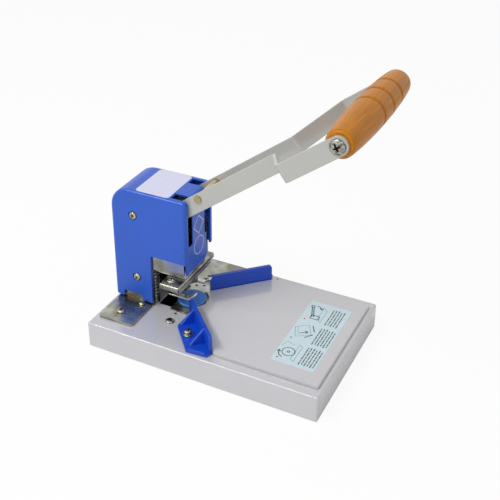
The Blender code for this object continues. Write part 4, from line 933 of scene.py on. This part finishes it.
class ROUNDER_OT_ram(Operator):
    """Dress the ram and its bushings, the crosshead, the blade and the posts."""

    bl_idname = "rounder.ram"
    bl_label = "Ram and blade"

    def execute(self, context):
        sizes = context.scene.rounder_sizes
        steel = ground_tool_steel("ground_tool_steel")
        dress(("crosshead", "blade_carrier", "blade", "crosshead_bolt_front",
               "crosshead_bolt_rear", "guide_post_front", "guide_post_rear"),
              steel, sizes.ground_round)
        dress(("ram",), ground_tool_steel("ground_tool_steel_bright", *BRIGHT_STEEL),
              sizes.ground_round)
        dress(("ram_bushing_front", "ram_bushing_rear"), sintered_bronze("sintered_bronze"),
              sizes.ground_round)
        return {"FINISHED"}


class ROUNDER_OT_lever(Operator):
    """Dress the lever arms, their pins and their spacer."""

    bl_idname = "rounder.lever"
    bl_label = "Lever"

    def execute(self, context):
        colours, sizes = context.scene.rounder_colours, context.scene.rounder_sizes
        enamel = baked_enamel("baked_enamel_bar", colours.arms)
        dress(("lever_arm_front", "lever_arm_rear"), enamel, sizes.fold_round)
        steel = ground_tool_steel("ground_tool_steel")
        dress(("pivot_tube", "drive_pin", "handle_rod"), steel,
              sizes.ground_round)
        tube_zinc = plated_screw("yellow_zinc_tube", "#a29464", "#c9bb8c", 12.0)
        dress(("arm_spacer",), tube_zinc, sizes.ground_round)
        return {"FINISHED"}


class ROUNDER_OT_grip(Operator):
    """Turn the wooden grip with its three grooves."""

    bl_idname = "rounder.grip"
    bl_label = "Grip"

    def execute(self, context):
        colour = context.scene.rounder_colours.wood
        half = (GRIP_HIGH.y - GRIP_LOW.y) / 2
        most = (GRIP_HIGH.z - GRIP_LOW.z) / 2

        def radius_at(share):
            swell = sin(pi * share) ** GRIP_SWELL
            return GRIP_END_RADIUS + (most - GRIP_END_RADIUS) * swell

        reach = GROOVE_HALF / (2 * half)
        first = GRIP_END_ROUND / (2 * half)
        stations = [first + (1 - 2 * first) * (1 - cos(pi * k / GRIP_STATIONS)) / 2
                    for k in range(1, GRIP_STATIONS)]
        marked = [(s, 0.0, False) for s in stations
                  if all(abs(s - g) > reach * GROOVE_CLEAR for g in GRIP_GROOVES)]
        for groove in GRIP_GROOVES:
            for k in range(GROOVE_STEPS + 1):
                along = 2 * k / GROOVE_STEPS - 1
                marked.append((groove + reach * along,
                               GROOVE_DEPTH * (1 + cos(pi * along)) / 2, k < GROOVE_STEPS))
        end = []
        for k in range(GRIP_END_STEPS + 1):
            angle = pi / 2 * k / GRIP_END_STEPS
            end.append((GRIP_END_RADIUS - GRIP_END_ROUND * (1 - sin(angle)),
                        half - GRIP_END_ROUND * (1 - cos(angle))))
        profile = [(GRIP_BORE, half), *end]
        rows = []
        for share, depth, grooved in sorted(marked):
            if grooved:
                rows.append(len(profile))
            profile.append((radius_at(share) - depth, half - 2 * half * share))
        profile += [(radius, -height) for radius, height in reversed(end)]
        profile += [(GRIP_BORE, -half), (GRIP_BORE, half)]
        bm = bmesh.new()
        lathe(bm, profile, GRIP_STEPS, rows)
        bmesh.ops.remove_doubles(bm, verts=bm.verts, dist=JOIN_DISTANCE)
        place_bm(bm, GRIP_AXIS, (0, -1, 0))
        # The groove rows take the darkened copy of the wood, painted shade in the grooves
        add_piece("turned_grip", bm, [
            varnished_beech("varnished_beech", colour),
            varnished_beech("varnished_beech_groove", colour, GROOVE_PAINTED_SHADE)],
            "grip", ["handle_grip"])
        return {"FINISHED"}


class ROUNDER_OT_springs(Operator):
    """Wind the two return springs round their guide posts."""

    bl_idname = "rounder.springs"
    bl_label = "Return springs"

    def execute(self, context):
        wire = plated_screw("drawn_spring_wire", "#6f7072", "#a9aaa8")
        for side, _ in SIDES:
            node = "return_spring_" + side
            low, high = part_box(node)
            centre = sum(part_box("guide_post_" + side), Vector()) / 2
            first, last = low.z + 2 * WIRE_RADIUS, high.z - 2 * WIRE_RADIUS
            count = SPRING_CURLS * CURL_POINTS
            points = []
            for k in range(count + 1):
                angle, share = 2 * pi * k / CURL_POINTS, k / count
                points.append(Vector((
                    centre.x + SPRING_RADIUS * cos(angle),
                    centre.y + SPRING_RADIUS * sin(angle), first + (last - first) * share)))
            bm = bmesh.new()
            tube(bm, points, WIRE_RADIUS, WIRE_STEPS)
            piece = add_piece("wound_spring_" + side, bm, [wire], "base", [node])
            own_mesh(piece)
        return {"FINISHED"}


class ROUNDER_OT_screws(Operator):
    """Turn the screws with their cross recesses."""

    bl_idname = "rounder.screws"
    bl_label = "Screws"

    def execute(self, context):
        zinc = plated_screw("bright_zinc_screw", "#66645a", "#c6c3b6")
        brass = plated_screw("yellow_zinc_screw", *YELLOW_ZINC)
        up, down = (0, 0, 1), (0, 0, -1)
        for side, sign in SIDES:
            outward = (0, sign, 0)
            add_screw("frame_screw_" + side, "base", up, zinc, PAN_HEIGHT,
                      PAN_SHANK, turn=0.3)
            add_screw("plate_screw_" + side, "base", up, zinc, PAN_HEIGHT,
                      PAN_SHANK, turn=1.1)
            add_screw("guide_screw_" + side, "base", up, zinc,
                      GUIDE_HEAD_HEIGHT, PAN_SHANK, washer_head=GUIDE_HEAD_RADIUS, turn=0.7,
                      rim_share=GUIDE_RIM_SHARE)
            add_screw("frame_rivet_" + side, "base", up, brass, DOME_HEIGHT,
                      PAN_SHANK, recess=False)
            add_screw("carrier_screw_" + side, "ram", up, zinc, PAN_HEIGHT,
                      PAN_SHANK, turn=0.5)
            add_screw("handle_screw_" + side, "lever", outward, zinc,
                      HANDLE_HEAD_HEIGHT, HANDLE_SHANK, turn=0.6)
            for level in ("upper", "lower"):
                add_screw(f"housing_screw_{level}_{side}", "base", outward, brass,
                          HOUSING_HEAD_HEIGHT, PAN_SHANK, turn=0.9)
            for end in ("left", "right"):
                add_screw(f"foot_screw_{side}_{end}", "base", down, zinc,
                          FOOT_HEAD_HEIGHT, FOOT_SHANK)
        dress(("stripper_screw", "disc_screw"), zinc,
              context.scene.rounder_sizes.ground_round)
        return {"FINISHED"}


class ROUNDER_OT_prints(Operator):
    """Lay the blank top label, the guide sheet on the bed and the marks on the end."""

    bl_idname = "rounder.prints"
    bl_label = "Label and sheets"

    def execute(self, context):
        colours = context.scene.rounder_colours
        label = film_bm(
            LABEL_LEFT, LABEL_RIGHT, -LABEL_HALF, LABEL_HALF, LABEL_CORNER, HOUSING_TOP)
        add_piece("top_label", label, [printed_film("blank_label_film", colours.label, 0.3)],
                  "base")
        sheet = film_bm(STICKER_LEFT, STICKER_RIGHT, STICKER_FRONT, STICKER_REAR,
                        STICKER_CORNER, BED_TOP)
        add_piece("bed_sheet", sheet, [printed_film("guide_sheet_film", colours.sticker, 0.4)],
                  "base")
        self.print_sheet(colours)
        self.print_panel(printed_film("pad_printed_white", colours.panel_mark, 0.45))
        return {"FINISHED"}

    def print_sheet(self, colours):
        """Three sketches over three blocks of plain rules, read from the right-hand side."""
        level = BED_TOP + LABEL_THICKNESS
        inks = {"dark": bmesh.new(), "pale": bmesh.new(), "red": bmesh.new()}

        def draw(ink, column, points, width, closed=False):
            placed = [(BASE_LEFT + STICKER_LEFT + down / 1000,
                       STICKER_FRONT + (column + across) / 1000) for across, down in points]
            stroke(inks[ink], placed, width / 1000, level, level + INK_THICKNESS, closed)

        for column, (sketch, rows) in zip(SHEET_COLUMNS, SHEET_SKETCHES):
            for ink, width, closed, points in sketch:
                draw(ink, column, points, width, closed)
            draw("red", column, ring_points(SHEET_DOT, SHEET_DOT_RADIUS, 12),
                 2 * SHEET_DOT_RADIUS, True)
            for row in range(rows):
                down = RULE_FIRST + RULE_PITCH * row
                at, turn = RULE_INDENT * (row % 2), row
                while at < RULE_LENGTH - RULE_LEAST:
                    length = min(RULE_DASHES[turn % len(RULE_DASHES)], RULE_LENGTH - at)
                    draw("dark", column, [(at, down), (at + length, down)], RULE_WIDTH)
                    at, turn = at + length + RULE_GAP, turn + 1
        for ink, bm in inks.items():
            film = printed_film("sheet_ink_" + ink, getattr(colours, "ink_" + ink), 0.4)
            add_piece("bed_sheet_ink_" + ink, bm, [film], "base")

    def print_panel(self, film):
        """Plain lozenge over a plain ring on the housing's end."""
        bm = bmesh.new()
        wide, tall = PANEL_MARK_HALF
        stroke(bm, [(0, tall), (wide, 0), (0, -tall), (-wide, 0)], PANEL_LINE, 0,
               INK_THICKNESS, True)
        stroke(bm, ring_points((0, -PANEL_MARK_PITCH), wide), PANEL_LINE, 0, INK_THICKNESS,
               True)
        place_bm(bm, (BASE_LEFT + PANEL_FACE, 0, PANEL_MARK_HEIGHT), (1, 0, 0))
        add_piece("end_marks", bm, [film], "base")


def stage_object(name, data):
    """Link an object that isn't part of the corner rounder."""
    obj = bpy.data.objects.new(name, data)
    bpy.context.scene.collection.objects.link(obj)
    return obj


def add_lamp(name, place, target, size, power):
    """Add a soft box, its size across and up, that looks at a target."""
    data = bpy.data.lights.new(name, "AREA")
    data.shape = "RECTANGLE"
    data.size, data.size_y = size
    data.energy = power
    obj = stage_object(name, data)
    obj.location = place
    obj.rotation_euler = (Vector(target) - Vector(place)).to_track_quat("-Z", "Y").to_euler()


class ROUNDER_OT_stage(Operator):
    """Set the floor, the white surroundings, the lamps and the camera."""

    bl_idname = "rounder.stage"
    bl_label = "Stage"

    def execute(self, context):
        stage = context.scene.rounder_stage
        self.make_floor(stage)
        self.make_world(context.scene, stage)
        middle = (CAD_BOX[0] + CAD_BOX[1]) / 2
        add_lamp("key_lamp", KEY_PLACE, middle, KEY_SIZE, stage.key)
        add_lamp("fill_lamp", FILL_PLACE, middle, FILL_SIZE, stage.fill)
        camera = bpy.data.cameras.new("photo_camera")
        camera.lens = stage.lens
        camera.shift_x, camera.shift_y = stage.shift
        obj = stage_object("photo_camera", camera)
        obj.location = stage.camera_place
        obj.rotation_euler = (pi / 2 - stage.elevation, 0, stage.azimuth)
        context.scene.camera = obj
        context.scene.view_settings.view_transform = "Standard"
        return {"FINISHED"}

    def make_floor(self, stage):
        """Pale floor: white to the camera, with the part's soft shadow."""
        half = stage.floor_size / 2
        bm = bmesh.new()
        bm.faces.new([bm.verts.new((x, y, CAD_BOX[0].z)) for x, y in (
            (-half, -half), (half, -half), (half, half), (-half, half))])
        mesh = bpy.data.meshes.new("studio_floor")
        bm.to_mesh(mesh)
        bm.free()
        material = bpy.data.materials.new("matt_white_paper")
        material.use_nodes = True
        tree = material.node_tree
        tree.nodes.clear()
        paper = add_node(tree, "ShaderNodeBsdfDiffuse", {}, {"Color": WHITE})
        glow = add_node(tree, "ShaderNodeEmission", {}, {"Color": WHITE, "Strength": 1.0})
        rays = add_node(tree, "ShaderNodeLightPath")
        seen = add_node(tree, "ShaderNodeMath", {"operation": "MULTIPLY"},
                        {0: rays.outputs["Is Camera Ray"], 1: FLOOR_GLOW})
        mix = add_node(tree, "ShaderNodeMixShader", {},
                       {0: seen.outputs[0], 1: paper.outputs[0], 2: glow.outputs[0]})
        add_node(tree, "ShaderNodeOutputMaterial", {}, {"Surface": mix.outputs[0]})
        mesh.materials.append(material)
        stage_object("studio_floor", mesh)

    def make_world(self, scene, stage):
        """Even soft light, with white behind the part and in its reflections."""
        world = bpy.data.worlds.new("studio_white")
        world.use_nodes = True
        tree = world.node_tree
        tree.nodes.clear()
        rays = add_node(tree, "ShaderNodeLightPath").outputs
        seen = add_node(tree, "ShaderNodeMath", {"operation": "MAXIMUM"},
                        {0: rays["Is Camera Ray"], 1: rays["Is Glossy Ray"]})
        every = add_node(tree, "ShaderNodeMath", {"operation": "MAXIMUM"},
                         {0: seen.outputs[0], 1: rays["Is Transmission Ray"]})
        light, white = [
            add_node(tree, "ShaderNodeBackground", {}, {"Color": WHITE, "Strength": strength})
            for strength in (stage.sky, 1.0)]
        mix = add_node(tree, "ShaderNodeMixShader", {},
                       {0: every.outputs[0], 1: light.outputs[0], 2: white.outputs[0]})
        add_node(tree, "ShaderNodeOutputWorld", {}, {"Surface": mix.outputs[0]})
        scene.world = world


OPERATORS = (
    ROUNDER_OT_base, ROUNDER_OT_plates, ROUNDER_OT_housing, ROUNDER_OT_guides, ROUNDER_OT_disc,
    ROUNDER_OT_ram, ROUNDER_OT_lever, ROUNDER_OT_grip, ROUNDER_OT_springs, ROUNDER_OT_screws,
    ROUNDER_OT_prints, ROUNDER_OT_stage)


class ROUNDER_PT_panel(Panel):
    """Sidebar panel that lists the operators."""

    bl_idname = "ROUNDER_PT_panel"
    bl_label = "Corner Rounder"
    bl_space_type = "VIEW_3D"
    bl_region_type = "UI"
    bl_category = "Corner Rounder"

    def draw(self, context):
        for operator in OPERATORS:
            self.layout.operator(operator.bl_idname)
        for group in ("rounder_colours", "rounder_sizes", "rounder_stage"):
            settings = getattr(context.scene, group)
            column = self.layout.column()
            for name in settings.__annotations__:
                column.prop(settings, name)


CLASSES = (RounderColours, RounderSizes, RounderStage, *OPERATORS, ROUNDER_PT_panel)


def register():
    """Register the classes and hang the settings on the scene."""
    for kind in CLASSES:
        bpy.utils.register_class(kind)
    bpy.types.Scene.rounder_colours = PointerProperty(type=RounderColours)
    bpy.types.Scene.rounder_sizes = PointerProperty(type=RounderSizes)
    bpy.types.Scene.rounder_stage = PointerProperty(type=RounderStage)


def unregister():
    """Take the settings and the classes away again."""
    del bpy.types.Scene.rounder_stage
    del bpy.types.Scene.rounder_sizes
    del bpy.types.Scene.rounder_colours
    for kind in reversed(CLASSES):
        bpy.utils.unregister_class(kind)


def main():
    """Register the classes and run the operators in order."""
    register()
    for operator in OPERATORS:
        group, name = operator.bl_idname.split(".")
        getattr(getattr(bpy.ops, group), name)()


if __name__ == "__main__":
    main()
